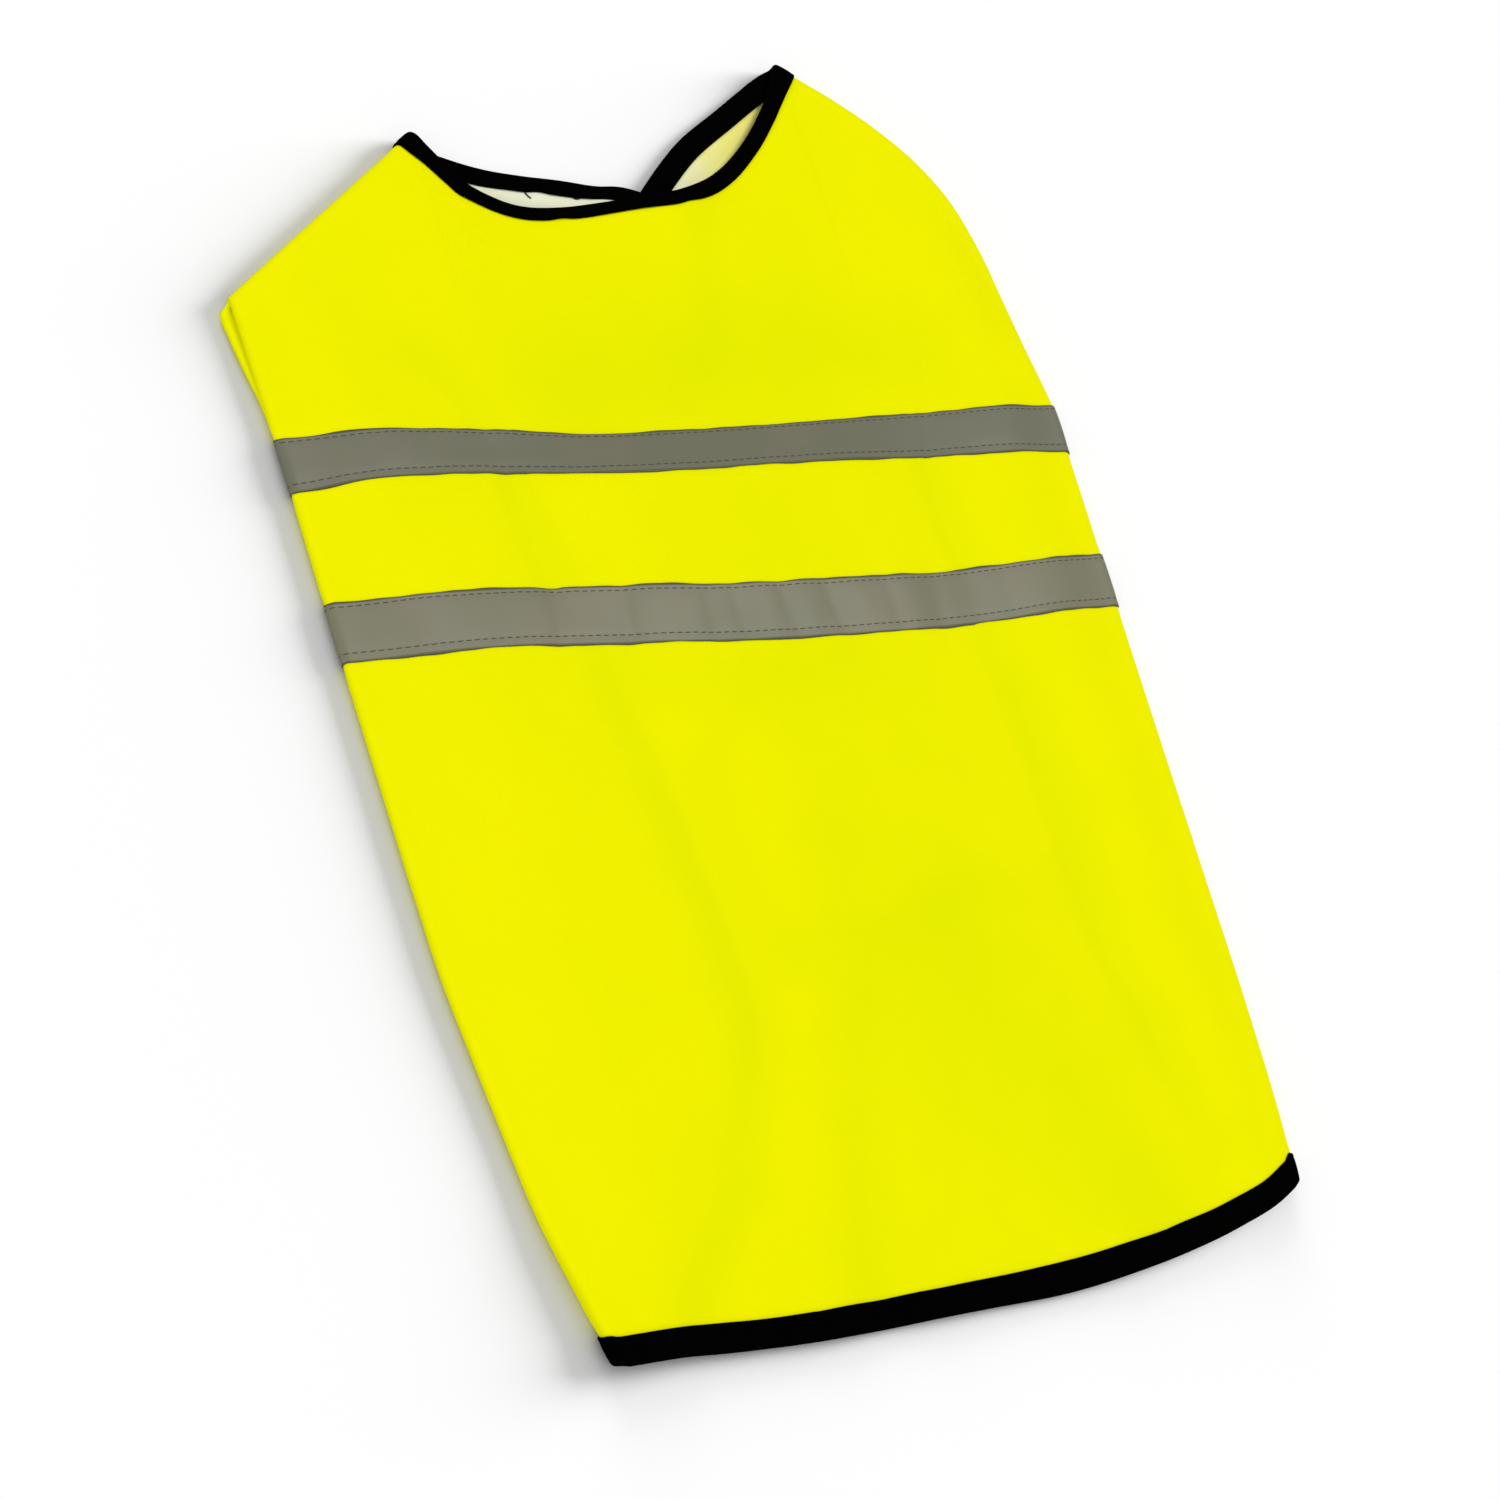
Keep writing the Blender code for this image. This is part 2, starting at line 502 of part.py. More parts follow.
def neckline_strip(body):
    """The strip of the back that the neck binding covers, from the right shoulder to the left one."""
    front_rows = body[-1 - np.array([0, len(EDGE_STEPS), len(EDGE_STEPS) + 1]), BACK_SLICE]
    ends = front_rows[0, :, :2]
    inside = (ends[:, 0] > NECKLINE[0][0] + LEFT_CORNER) & (ends[:, 0] < NECKLINE[-1][0] - RIGHT_CORNER)
    near = np.r_[EDGE_STEPS, CORNER_STEP]
    right = points_along(NECKLINE_PATH[::-1], near)
    left = points_along(NECKLINE_PATH, near)[::-1]
    edge = np.concatenate([right, ends[inside][::-1], left])
    strip = []
    for k, step in enumerate((0, BINDING_WIDTH / 2, BINDING_WIDTH)):
        depth = np.interp(edge[:, 0], ends[:, 0], ends[:, 1] - front_rows[k, :, 1])
        spot = edge - np.stack([0 * depth, depth * (BINDING_WIDTH / BOUND if k == 2 else 1)], axis=-1)
        for seam in (SEAM_PATHS["right"], SEAM_PATHS["left"][::-1]):
            along_seam = points_along(seam, np.array([0, step]))
            beside = 1 - smooth((np.hypot(*(edge - seam[0]).T) - ROLL) / CORNER_EASE)
            spot = spot + (edge + along_seam[1] - along_seam[0] - spot) * beside[:, None]
        strip.append(np.stack([*spot.T, back_height(*spot.T)], axis=-1))
    return np.array(strip)


def binding_surface(strip):
    """Middle surface of a binding folded over the edge of a strip."""
    normal = outward(strip)
    over, under = strip + ON_CLOTH * normal, strip - ON_CLOTH * normal
    past = (strip[0] - strip[1]) / (BINDING_WIDTH / 2) * NOSE_REACH
    nose = [strip[0] + past + side * NOSE_HALF_HEIGHT * normal[0] for side in (1, -1)]
    return np.stack([*under[::-1], nose[1], nose[0], *over])[::-1]


def patch_surface(corners, height):
    """A fastening patch over four plan corners."""
    a, b, c, d = np.array(corners, float)
    s, t = np.meshgrid(*[np.linspace(0, 1, PATCH_POINTS)] * 2)
    spot = (a * ((1 - s) * (1 - t))[..., None] + b * (s * (1 - t))[..., None])
    spot = spot + c * (s * t)[..., None] + d * ((1 - s) * t)[..., None]
    x, y = spot[..., 0], spot[..., 1]
    return np.stack([x, y, height(x, y)], axis=-1)


def material(name, colour, roughness):
    made = bpy.data.materials.new(name)
    made.use_nodes = True
    shader = made.node_tree.nodes["Principled BSDF"]
    shader.inputs["Base Color"].default_value = (*colour, 1)
    shader.inputs["Roughness"].default_value = roughness
    return made


def wall(name, grid, thickness, finish, parts):
    """One closed wall: a grid of points in millimetres, thickened evenly to both sides."""
    rows, columns = grid.shape[:2]
    corner = np.arange(rows * columns).reshape(rows, columns)
    quads = np.stack([corner[:-1, :-1], corner[:-1, 1:], corner[1:, 1:], corner[1:, :-1]], axis=-1)
    mesh = bpy.data.meshes.new(name)
    mesh.from_pydata((grid.reshape(-1, 3) * MM).tolist(), [], quads.reshape(-1, 4).tolist())
    mesh.materials.append(finish)
    mesh.shade_smooth()
    made = bpy.data.objects.new(name, mesh)
    parts.objects.link(made)
    shell = made.modifiers.new("wall", "SOLIDIFY")
    shell.thickness = thickness * MM
    shell.offset = 0
    shell.use_even_offset = True
    return made


def build():
    for old in list(bpy.data.objects):
        bpy.data.objects.remove(old)
    parts = bpy.data.collections.new("reflective_dog_jacket")
    bpy.context.scene.collection.children.link(parts)

    cloth = material("fluorescent_cloth", YELLOW, 0.8)
    black = material("black_binding", BLACK, 0.85)
    grey = material("reflective_tape", GREY, 0.45)
    loops = material("black_loop", BLACK, 0.95)
    hooks = material("black_hook", BLACK, 0.6)

    body = body_surface()
    straps = {side: strap_surface(side) for side in ("left", "right")}
    wall("body", body, CLOTH, cloth, parts)
    wall("chest_left", straps["left"], CLOTH, cloth, parts)
    wall("chest_right", straps["right"], CLOTH, cloth, parts)

    # Bindings over the neck edge and over the hem
    right, top, left = edge_strip(straps["right"]), neckline_strip(body), edge_strip(straps["left"])
    top[:, 0] = (top[:, 0] + right[:, -1]) / 2
    top[:, -1] = (top[:, -1] + left[:, 0]) / 2
    neck = np.concatenate([right[:, :-1], top, left[:, 1:]], axis=1)
    wall("neck_binding", binding_surface(neck), TRIM, black, parts)
    wall("hem_binding", binding_surface(edge_strip(body)), TRIM, black, parts)

    # Tapes on the outside of the body
    flank = len(LEFT_BELLY_COLUMNS)
    rear = body[REAR_ROWS, LEFT_BELLY_COLUMNS.index(REAR_TAPE_END):]
    front = body[FRONT_ROWS, flank - 1 : BACK_SLICE.stop + FOLD_COLUMNS + 1]
    wall("tape_rear", rear + ON_CLOTH * outward(rear), TRIM, grey, parts)
    wall("tape_front", front + ON_CLOTH * outward(front), TRIM, grey, parts)

    # Fastening patches between the overlapping ends
    def chest(x, y):
        return strap_level("right", x, y) + ON_CLOTH

    def belly(x, y):
        return belly_level(x, y) + ON_CLOTH

    step = TRIM + GAP
    wall("chest_loop", patch_surface(CHEST_PATCH, chest), TRIM, loops, parts)
    wall("chest_hook", patch_surface(CHEST_PATCH, lambda x, y: chest(x, y) + step), TRIM, hooks, parts)
    wall("belly_loop", patch_surface(BELLY_PATCH, belly), TRIM, loops, parts)
    wall("belly_hook", patch_surface(BELLY_PATCH, lambda x, y: belly(x, y) + step), TRIM, hooks, parts)


build()
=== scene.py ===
"""Looks for a reflective dog jacket that lies flat, back up, on a pale floor.

X runs across the jacket, +Y towards the neck, +Z up from the floor. Sizes are in millimetres and become
metres when a mesh is made. A surface is a grid of points, rows by columns, with its outer side where
columns x rows points.
"""

import bpy
import numpy as np
from mathutils import Matrix, Vector


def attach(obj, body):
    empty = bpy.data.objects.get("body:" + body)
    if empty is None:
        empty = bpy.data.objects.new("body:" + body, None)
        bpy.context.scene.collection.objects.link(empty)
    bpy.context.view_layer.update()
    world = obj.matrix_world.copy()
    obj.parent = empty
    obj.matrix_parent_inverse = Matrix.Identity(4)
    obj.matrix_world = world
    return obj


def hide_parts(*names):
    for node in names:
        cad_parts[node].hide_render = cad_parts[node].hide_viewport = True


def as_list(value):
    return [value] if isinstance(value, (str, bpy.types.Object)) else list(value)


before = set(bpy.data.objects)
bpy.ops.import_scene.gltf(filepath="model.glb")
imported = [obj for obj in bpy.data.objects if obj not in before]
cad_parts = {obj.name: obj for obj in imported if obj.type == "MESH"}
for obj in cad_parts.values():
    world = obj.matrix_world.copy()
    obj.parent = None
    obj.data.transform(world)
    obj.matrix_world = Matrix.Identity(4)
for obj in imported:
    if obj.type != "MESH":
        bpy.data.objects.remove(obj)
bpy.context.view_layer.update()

MM = 0.001

# Driving sizes of the model
CLOTH = 1.0
TRIM = 1.0
GAP = 0.3
BINDING_WIDTH = 9.2
RAMP = 5.5  # length over which cloth settles beside a piece that lies under it
ROLL = 3.0  # radius of the side folds and shoulder folds, seen from above
SEAM_OPENING = 0.13  # share of a fold's height left between two pieces that meet at a seam

# Derived sizes
FLOOR_LEVEL = CLOTH / 2
TRIM_LIFT = TRIM + GAP
OVERLAP_LIFT = CLOTH + 2 * TRIM + 3 * GAP
BOUND = BINDING_WIDTH + GAP

# Side folds of the back
LEFT_FOLD = [  # y, x
    (-262, -138.5), (-236, -145), (-206, -152), (-176, -156.2), (-145, -160.2), (-115, -163.8),
    (-84, -165.6), (-41, -167.5), (20, -170), (100, -173), (134, -175), (165, -177),
]
RIGHT_FOLD = [  # y, x
    (-251, 165), (-206, 170), (-112, 174), (-61, 175.5), (15, 178), (74, 180), (99, 180.5), (126, 177),
    (152, 173.5), (168, 171.5),
]
# Rear edge of the back, then of the belly band under it
HEM = [  # x, y
    (-138, -261), (-110, -262.5), (-85, -265), (-53, -267.5), (-19, -268.5), (15, -269.5), (51, -270.5),
    (89, -268), (109, -265.5), (131, -261.5), (153, -255.5), (165, -250),
]
BELLY_HEM = [  # x, y
    (-137, -258), (-124, -250), (-108, -236), (-85, -212), (-50, -174), (-22, -154), (6, -148), (34, -154),
    (66, -175), (104, -210), (132, -233), (150, -243), (164, -248),
]
BELLY_FRONT = [  # x, y
    (-173, 156), (-162, 118), (-148, 88), (-122, 70), (-80, 62), (0, 60), (85, 62), (128, 70), (152, 88),
    (163, 118), (170, 156),
]
# Outline of the neck and shoulders
LEFT_SHOULDER = [(-177, 165), (-84.5, 236.5)]  # x, y
NECKLINE = [  # x, y
    (-84.5, 236.5), (-75, 222.8), (-69, 214.4), (-60, 206.9), (-46, 200.3), (-28, 198.4), (-9, 199.7),
    (12, 202), (30, 205.2), (41, 209.6), (53, 216.8), (70, 231.6), (84.5, 249.2), (97.5, 270),
]
RIGHT_SHOULDER = [  # x, y
    (97.5, 270), (105, 264.5), (121.5, 252.3), (138, 237.3), (152.5, 220), (162.7, 202), (169, 181),
    (171.5, 168),
]
# Chest straps, each from its shoulder seam to its tip
LEFT_STRAP_NECK = [  # x, y
    (-84.5, 236.5), (-82, 233), (-77.5, 229.5), (-70, 226), (-56, 221), (-39, 217.5), (-22, 215), (-4, 211),
    (12, 206), (24, 200), (34, 191),
]
LEFT_STRAP_LEG = [  # x, y
    (-172.5, 168.5), (-168, 162), (-158, 153), (-142, 144), (-123, 137), (-100, 132.5), (-65, 131),
    (-29, 136), (-3, 148), (12, 163),
]
RIGHT_STRAP_NECK = [  # x, y
    (97.5, 270), (94.5, 268.9), (87, 264.8), (77, 258.2), (64, 249.4), (39, 232.4), (26.8, 221.2),
    (11.5, 205.5), (-6, 189), (-24, 175),
]
RIGHT_STRAP_LEG = [  # x, y
    (170.5, 172), (166.5, 169.5), (157, 162), (141, 156.5), (120, 153.5), (100, 152), (70, 151), (42, 150),
    (10, 146), (-28, 138),
]

# Heights of the back, one row for each section across the jacket
SECTION_COLUMNS = (
    "y folds lobe_left trough_left_x trough_left middle trough_right_x trough_right lobe_right"
).split()
SECTIONS = [
    (-270, 7.2, 6.6, -98, 3.8, 2.8, 134, 4.4, 6.4),
    (-250, 7.1, 7.0, -96, 4.2, 3.1, 132, 4.4, 6.8),
    (-225, 6.4, 7.6, -84, 5.0, 4.4, 129, 4.7, 7.0),
    (-190, 4.8, 8.2, -66, 5.6, 6.8, 122, 5.0, 7.4),
    (-166, 4.6, 8.6, -60, 6.0, 8.4, 117, 5.2, 7.7),
    (-145, 4.6, 8.8, -56, 6.2, 8.8, 113, 5.4, 8.0),
    (-100, 4.6, 9.0, -56, 6.2, 8.8, 110, 5.6, 8.2),
    (-50, 4.6, 9.0, -60, 6.2, 8.4, 109, 5.8, 8.2),
    (0, 4.6, 8.8, -66, 6.4, 8.4, 108, 6.0, 8.0),
    (32, 4.6, 8.8, -77, 6.8, 9.4, 107, 6.6, 8.0),
    (56, 4.6, 8.8, -84, 7.2, 10.8, 108, 7.2, 8.0),
    (74, 4.6, 8.8, -89, 8.0, 12.2, 111, 7.8, 8.2),
    (86, 4.6, 8.6, -91, 6.8, 8.8, 112, 6.8, 8.0),
    (98, 4.6, 8.2, -93, 5.5, 5.5, 114, 5.7, 7.6),
    (110, 4.6, 8.0, -96, 5.3, 5.3, 117, 5.6, 7.5),
    (125, 4.8, 7.8, -102, 5.3, 5.5, 121, 5.6, 7.4),
    (150, 5.4, 7.6, -112, 6.4, 7.6, 127, 6.4, 7.4),
    (180, 6.4, 7.6, -112, 7.4, 9.0, 127, 7.2, 7.4),
    (272, 7.2, 7.4, -112, 7.4, 9.2, 127, 7.2, 7.4),
]
LOBE_SHARE = 0.45  # where a lobe peaks between its fold and its trough
PLATEAU_SHARE = 0.28  # where the middle plateau starts, between the troughs
NECK_EDGE_HEIGHT = [  # x, height of the neckline
    (-84.5, 7.2), (-72, 6.2), (-50, 6.2), (-34, 7.2), (-14, 8.6), (8, 10.2), (32, 10.0), (50, 7.0), (75, 6.2),
    (97.5, 7.2),
]
NECK_SLOPE = 30  # width of the strip beside the neckline that slopes to its edge

# Soft folds that fan out to the hem: x and y where each starts and ends, half width, height
HEM_FOLDS = [
    (-26, -150, -48, -262, 13, 1.0),
    (2, -140, -28, -262, 11, -0.7),
    (24, -145, -2, -262, 12, 0.9),
    (52, -140, 38, -262, 13, -0.7),
    (92, -170, 78, -262, 13, 1.0),
]

# Reflective tapes: x, y of the lower edge, width
REAR_TAPE = [
    (-175, 9.6, 24.6), (-130, 8.4, 24.6), (-90, 7.6, 24.6), (-50, 4.8, 24.6), (-10, 1.4, 24.8),
    (30, -0.4, 25), (70, -1.4, 24.8), (110, -0.6, 24.6), (175, 1.6, 24.6),
]
FRONT_TAPE = [
    (-175, 79.6, 23.6), (-150, 81.7, 21.5), (-130, 82, 21.2), (-90, 81.4, 20.6), (-50, 76.6, 20.4),
    (-10, 75, 20.6), (30, 74.8, 21), (70, 74.8, 21.8), (110, 75.4, 21.8), (175, 75.2, 22.8),
]

# Ends of the belly band: x of each, and where the left one climbs over the right one
LEFT_END, RIGHT_END = 28, -16
BELLY_RISE = (-32, -19)
# Where the left strap climbs over the right one, from the right one's neck edge
STRAP_RISE = (-22, -6)
STRAP_EASE = 1.5  # how far past its binding a strap stays raised

# The turned-under layer shows past the back below the left shoulder
PEEK_REACH = 5.2
PEEK_VALLEY = 1.3  # depth of the crease between that layer and the back
PEEK = [  # y, share
    (100, 0), (113, 0), (120, 0.12), (134, 0.55), (150, 0.9), (157, 1), (160, 0.9), (162.5, 0.35), (165, 0),
]

# Where the grids have their lines
FOLD_PARTS = 7  # of a quarter turn
FOLD_TURNS = np.radians(np.linspace(0, 90, FOLD_PARTS + 1)[1:-1])
EDGE_STEPS = np.array([0, *ROLL * (1 - np.cos(FOLD_TURNS)), ROLL])
ACROSS_STEP, ALONG_STEP, UNDER_STEP = 1.9, 3.2, 6.0  # over the back, along it, and over the layers under it
BACK_X = (  # x at the front edge of columns that meet a corner of the outline, with more beside each corner
    -174, -96.4, -92, -88.1, -84.5, -84.37, -84, -83.4, -82.8, -80, 88.5, 93.5, 95.7, 96.35, 96.97, 97.36,
    97.5, 101.1, 105, 109.4, 168.5,
)
TAPE_ROWS = {"rear": (5, 6), "front": (9, 10)}  # key rows at the lower and upper edge of each tape
STRAP_STEPS, STRAP_ROWS = 66, 34
LEFT_CORNER, RIGHT_CORNER, CORNER_STEP = 10, 7, 8  # neck binding beside the shoulder seams, and its last step
CORNER_EASE = 9  # length over which the neck binding turns from its seam to the neckline
TIP_REACH = 10  # how many of its last steps a strap's neck edge is drawn past the tip
PULL_SHARE = 0.5  # share of a strap over which its shoulder outline fades
HEM_SPREAD, FRONT_SPREAD = 2, 3.5  # most that rows spread apart at a slanted edge
PATH_POINTS, SEAM_POINTS, CREASE_POINTS, SETTLE_ROUNDS = 80, 40, 14, 12
REAR_TAPE_END = 0.698  # share of the left end of the belly band where its tape stops

# Creases and soft ridges: height, half width on the left and on the right of the line, points of the line
BACK_CREASES = [
    (-0.55, 3.5, 6, [(-103, 136), (-92, 112), (-85, 78), (-82, 39), (-69, 3)]),
    (-0.6, 3, 5.5, [(-74, 12), (-58, -31), (-52, -81), (-47, -126), (-48, -158), (-69, -196), (-96, -229)]),
    (-0.4, 6, 3.5, [(131, 150), (114, 102), (103, 65), (105, 28), (107, 0)]),
    (-0.4, 6, 4, [(107, 5), (112, -32), (109, -94), (113, -146), (120, -177), (126, -211), (137, -245)]),
    (-0.5, 6, 5, [(-116, 137), (-98, 123), (-58, 127), (-21, 132), (10, 159), (29, 190)]),
    (-0.35, 4, 7, [(32, 154), (84, 152), (140, 155)]),
    (-0.3, 5, 6, [(112, 250), (138, 222), (151, 192)]),
    (-0.25, 5, 8, [(-150, 150), (-132, 132), (-126, 108)]),
    (-0.2, 6, 5, [(60, 110), (36, 122), (8, 118)]),
    (0.35, 6, 7, [(-14, -127), (-38, -190), (-64, -250)]),
    (-0.3, 5, 6, [(0, -150), (-18, -200), (-36, -255)]),
    (0.3, 6, 6, [(16, -168), (2, -210), (-14, -252)]),
    (-0.3, 5, 6, [(36, -175), (22, -212), (5, -248)]),
    (0.4, 5, 7, [(116, -205), (121, -228), (124, -248)]),
    (-0.25, 8, 10, [(32, -128), (60, -152), (84, -182)]),
    (0.3, 8, 8, [(60, -225), (70, -248), (76, -262)]),
]
BELLY_CREASES = [
    (0.9, 6, 8, [(-130, 60), (-118, 10), (-112, -60)]),
    (0.7, 7, 5, [(-60, 55), (-52, 0), (-58, -80)]),
    (0.8, 7, 6, [(128, 62), (112, 0), (110, -90)]),
    (0.6, 5, 7, [(70, 50), (64, -10), (74, -100)]),
    (0.5, 6, 6, [(-104, -90), (-96, -150), (-100, -190)]),
    (0.6, 6, 5, [(100, -110), (112, -160), (118, -200)]),
]
STRAP_CREASES = [
    (0.5, 6, 8, [(-150, 160), (-110, 182), (-70, 190)]),
    (0.4, 5, 7, [(-120, 148), (-84, 162), (-50, 166)]),
    (0.5, 7, 6, [(150, 172), (110, 196), (74, 206)]),
    (0.4, 7, 5, [(120, 162), (84, 172), (52, 176)]),
]
CREASE_FADE = 0.3  # share of a crease's length over which each end fades

# Painted shade: where the yellow is painted greener and darker along the troughs and hollows, where shade
# falls: share, then as for creases
PAINTED_SHADE_LINES = [
    (0.25, 75, 60, [(0, 230), (20, 0), (30, -310)]),
    (0.5, 9, 11, [(-124, 153), (-102, 131), (-88, 104), (-82, 60), (-72, 20)]),
    (0.6, 9, 11, [
        (-84, 50), (-70, 0), (-63, -50), (-57, -93), (-52, -129), (-53, -155), (-63, -188), (-80, -218),
        (-110, -254), (-124, -280),
    ]),
    (0.5, 12, 9, [
        (102, 120), (104, 44), (106, 0), (109, -42), (112, -72), (113, -106), (111, -134), (116, -160),
        (124, -192), (140, -250),
    ]),
    (0.5, 30, 24, [(-100, 112), (14, 124), (60, 128), (165, 120)]),
    (0.3, 9, 9, [(36, 222), (30, 176), (24, 120)]),
    (0.5, 28, 24, [(20, -105), (54, -168), (84, -218), (104, -285)]),
    (0.25, 9, 12, [(-46, -124), (18, -119), (86, -105)]),
    (0.3, 10, 12, [(8, -115), (-24, -212), (-40, -280)]),
    (0.3, 16, 16, [(-86, 4), (-6, -14), (64, -4)]),
    (0.25, 14, 14, [(-46, -30), (-30, -150)]),
]
PAINTED_SHADE_FADE = 0.2  # as for creases

# Puckers where a tape is sewn on: x, half width, height, lean
REAR_PUCKERS = [
    (-82, 4, -0.36, 0.10), (-69, 6, 0.2, 0.08), (-53, 3.4, -0.46, 0.06), (-40, 6, 0.26, 0.02),
    (-17, 3.8, -0.42, 0.10), (-4, 4, -0.34, -0.05), (8, 5, 0.3, 0.0), (18, 3.6, -0.4, -0.12),
    (27, 4.5, 0.24, -0.1), (39, 3.8, -0.46, -0.15), (53, 5, 0.32, -0.1), (66, 3.6, -0.32, -0.1),
    (76, 5, 0.22, 0.0), (88, 4.5, -0.4, 0.05), (112, 6, 0.18, 0.1), (124, 4, -0.26, 0.12),
    (146, 6, -0.2, 0.05),
]
FRONT_PUCKERS = [
    (-118, 7, -0.16, 0.1), (-84, 5, -0.26, 0.12), (-62, 6, 0.16, 0.0), (-34, 7, -0.18, -0.05),
    (4, 7, -0.2, 0.1), (30, 6, 0.16, 0.1), (58, 7, -0.2, 0.0), (92, 6, -0.18, -0.1), (128, 6, -0.2, 0.05),
]
PUCKER_REACH, PUCKER_FALL = 19.0, 4  # how far from a tape's middle its puckers fade, and how steeply

# Slow unevenness of the cloth: length of each wave, its heading in degrees, its height
RIPPLES = [
    (61, 12, 0.09), (43, 71, 0.07), (37, 133, 0.06), (27, 48, 0.045), (22, 158, 0.035), (17, 99, 0.025),
]
EVEN_STRIP = 9.0  # width beside a folded edge where creases and ripples fade


def through(pairs):
    """A smooth function through (station, value) pairs."""
    station, value = np.array(pairs, float).T
    slope = np.gradient(value, station)

    def at(where):
        where = np.clip(where, station[0], station[-1])
        i = np.clip(np.searchsorted(station, where) - 1, 0, len(station) - 2)
        span = station[i + 1] - station[i]
        t = (where - station[i]) / span
        ends = value[i] * (1 + 2 * t) * (1 - t) ** 2 + value[i + 1] * t**2 * (3 - 2 * t)
        return ends + span * (slope[i] * t * (1 - t) ** 2 - slope[i + 1] * t**2 * (1 - t))

    return at


def smooth(t):
    """0 before 0, 1 after 1, and an even S between."""
    t = np.clip(t, 0, 1)
    return t * t * (3 - 2 * t)


def bell(distance, width):
    """1 at no distance, fading evenly to both sides."""
    return np.exp(-((distance / width) ** 2))


def distances_along(path):
    """Distance of each point of a path from its start."""
    return np.r_[0, np.cumsum(np.linalg.norm(np.diff(path, axis=0), axis=-1))]


def path_through(points, count):
    """A plan curve through points, sampled evenly along its length."""
    points = np.array(points, float)
    along = distances_along(points)
    stations = np.linspace(0, along[-1], count)
    return np.stack([through(list(zip(along, points[:, k])))(stations) for k in (0, 1)], axis=1)


def points_along(path, distances):
    """Points of a plan path at distances from its start."""
    return np.stack([np.interp(distances, distances_along(path), path[:, k]) for k in (0, 1)], axis=1)


def length_of(path):
    return np.hypot(*np.diff(path, axis=0).T).sum()


def signed_distance(path, x, y):
    """Distance from plan points to a path, positive on its left."""
    spot = np.stack(np.broadcast_arrays(x, y), axis=-1).astype(float)[..., None, :]
    start, step = path[:-1], np.diff(path, axis=0)
    t = np.clip(((spot - start) * step).sum(-1) / (step**2).sum(-1), 0, 1)
    offset = spot - (start + t[..., None] * step)
    apart = np.hypot(offset[..., 0], offset[..., 1])
    nearest = apart.argmin(-1)[..., None]
    turn = step[:, 0] * offset[..., 1] - step[:, 1] * offset[..., 0]
    sign = np.where(np.take_along_axis(turn, nearest, -1) < 0, -1, 1)
    return (sign * np.take_along_axis(apart, nearest, -1))[..., 0]


def finer(values, step, scale=1.0):
    """Values with more put evenly between them, no more than a step apart."""
    values = np.asarray(values, float)
    parts = [
        np.linspace(a, b, max(1, int(np.ceil(abs(b - a) * scale / step))) + 1)[:-1]
        for a, b in zip(values, values[1:])
    ]
    return np.r_[np.concatenate(parts), values[-1]]


SECTION = {
    name: through([(row[0], row[k]) for row in SECTIONS]) for k, name in enumerate(SECTION_COLUMNS) if k
}
SIDES = ("left", "right")
LEFT_X, RIGHT_X = through(LEFT_FOLD), through(RIGHT_FOLD)
HEM_Y, BELLY_HEM_Y, BELLY_FRONT_Y = through(HEM), through(BELLY_HEM), through(BELLY_FRONT)
NECK_EDGE = through(NECK_EDGE_HEIGHT)
PEEK_SHARE = through(PEEK)
NECKLINE_PATH = path_through(NECKLINE, PATH_POINTS)
SEAM_PATHS = {"left": path_through(LEFT_SHOULDER, 2), "right": path_through(RIGHT_SHOULDER, SEAM_POINTS)}
NECK_PATHS, LEG_PATHS = (
    {side: path_through(points, PATH_POINTS) for side, points in zip(SIDES, both)}
    for both in ((LEFT_STRAP_NECK, RIGHT_STRAP_NECK), (LEFT_STRAP_LEG, RIGHT_STRAP_LEG))
)


def to_seam(x, y):
    """Distance to the nearer shoulder seam."""
    return np.minimum(*(np.abs(signed_distance(path, x, y)) for path in SEAM_PATHS.values()))


def from_fold(x, y):
    """Distance inwards from the round part of the nearer side fold."""
    return np.minimum(x - LEFT_X(y), RIGHT_X(y) - x) - ROLL


def fold_share(distance):
    """How far a layer has parted from the middle of a fold, at a distance from the fold's edge."""
    return np.sqrt(1 - (1 - np.clip(distance / ROLL, 0, 1)) ** 2)


def hem_folds(x, y):
    height = np.zeros(np.broadcast(x, y).shape)
    for x0, y0, x1, y1, half_width, rise in HEM_FOLDS:
        along = ((x - x0) * (x1 - x0) + (y - y0) * (y1 - y0)) / ((x1 - x0) ** 2 + (y1 - y0) ** 2)
        across = signed_distance(np.array([(x0, y0), (x1, y1)], float), x, y)
        height += rise * smooth(along) * bell(across, half_width)
    return height


def crease_height(creases, x, y, fading=CREASE_FADE):
    """Sum of creases with a steeper and a softer side, each fading at its ends."""
    total = np.zeros(np.broadcast(x, y).shape)
    for height, left, right, points in creases:
        path = path_through(points, CREASE_POINTS)
        across = signed_distance(path, x, y)
        width = np.where(across > 0, left, right)
        fade = fading * length_of(path)
        ends = [np.hypot(x - end[0], y - end[1]) / fade for end in (path[0], path[-1])]
        total += height * smooth(np.minimum(*ends)) * bell(across, width)
    return total


def tape_edges(tape, x):
    """y of a tape's lower and upper edge at x."""
    low, width = (through([(row[0], row[k]) for row in tape])(x) for k in (1, 2))
    return low, low + width


def puckers(x, y):
    total = np.zeros(np.broadcast(x, y).shape)
    for tape, rows in ((REAR_TAPE, REAR_PUCKERS), (FRONT_TAPE, FRONT_PUCKERS)):
        low, high = tape_edges(tape, x)
        across = y - (low + high) / 2
        reach = np.exp(-((across / PUCKER_REACH) ** PUCKER_FALL))
        for place, half_width, height, lean in rows:
            total += height * reach * bell(x - place - lean * across, half_width)
    return total


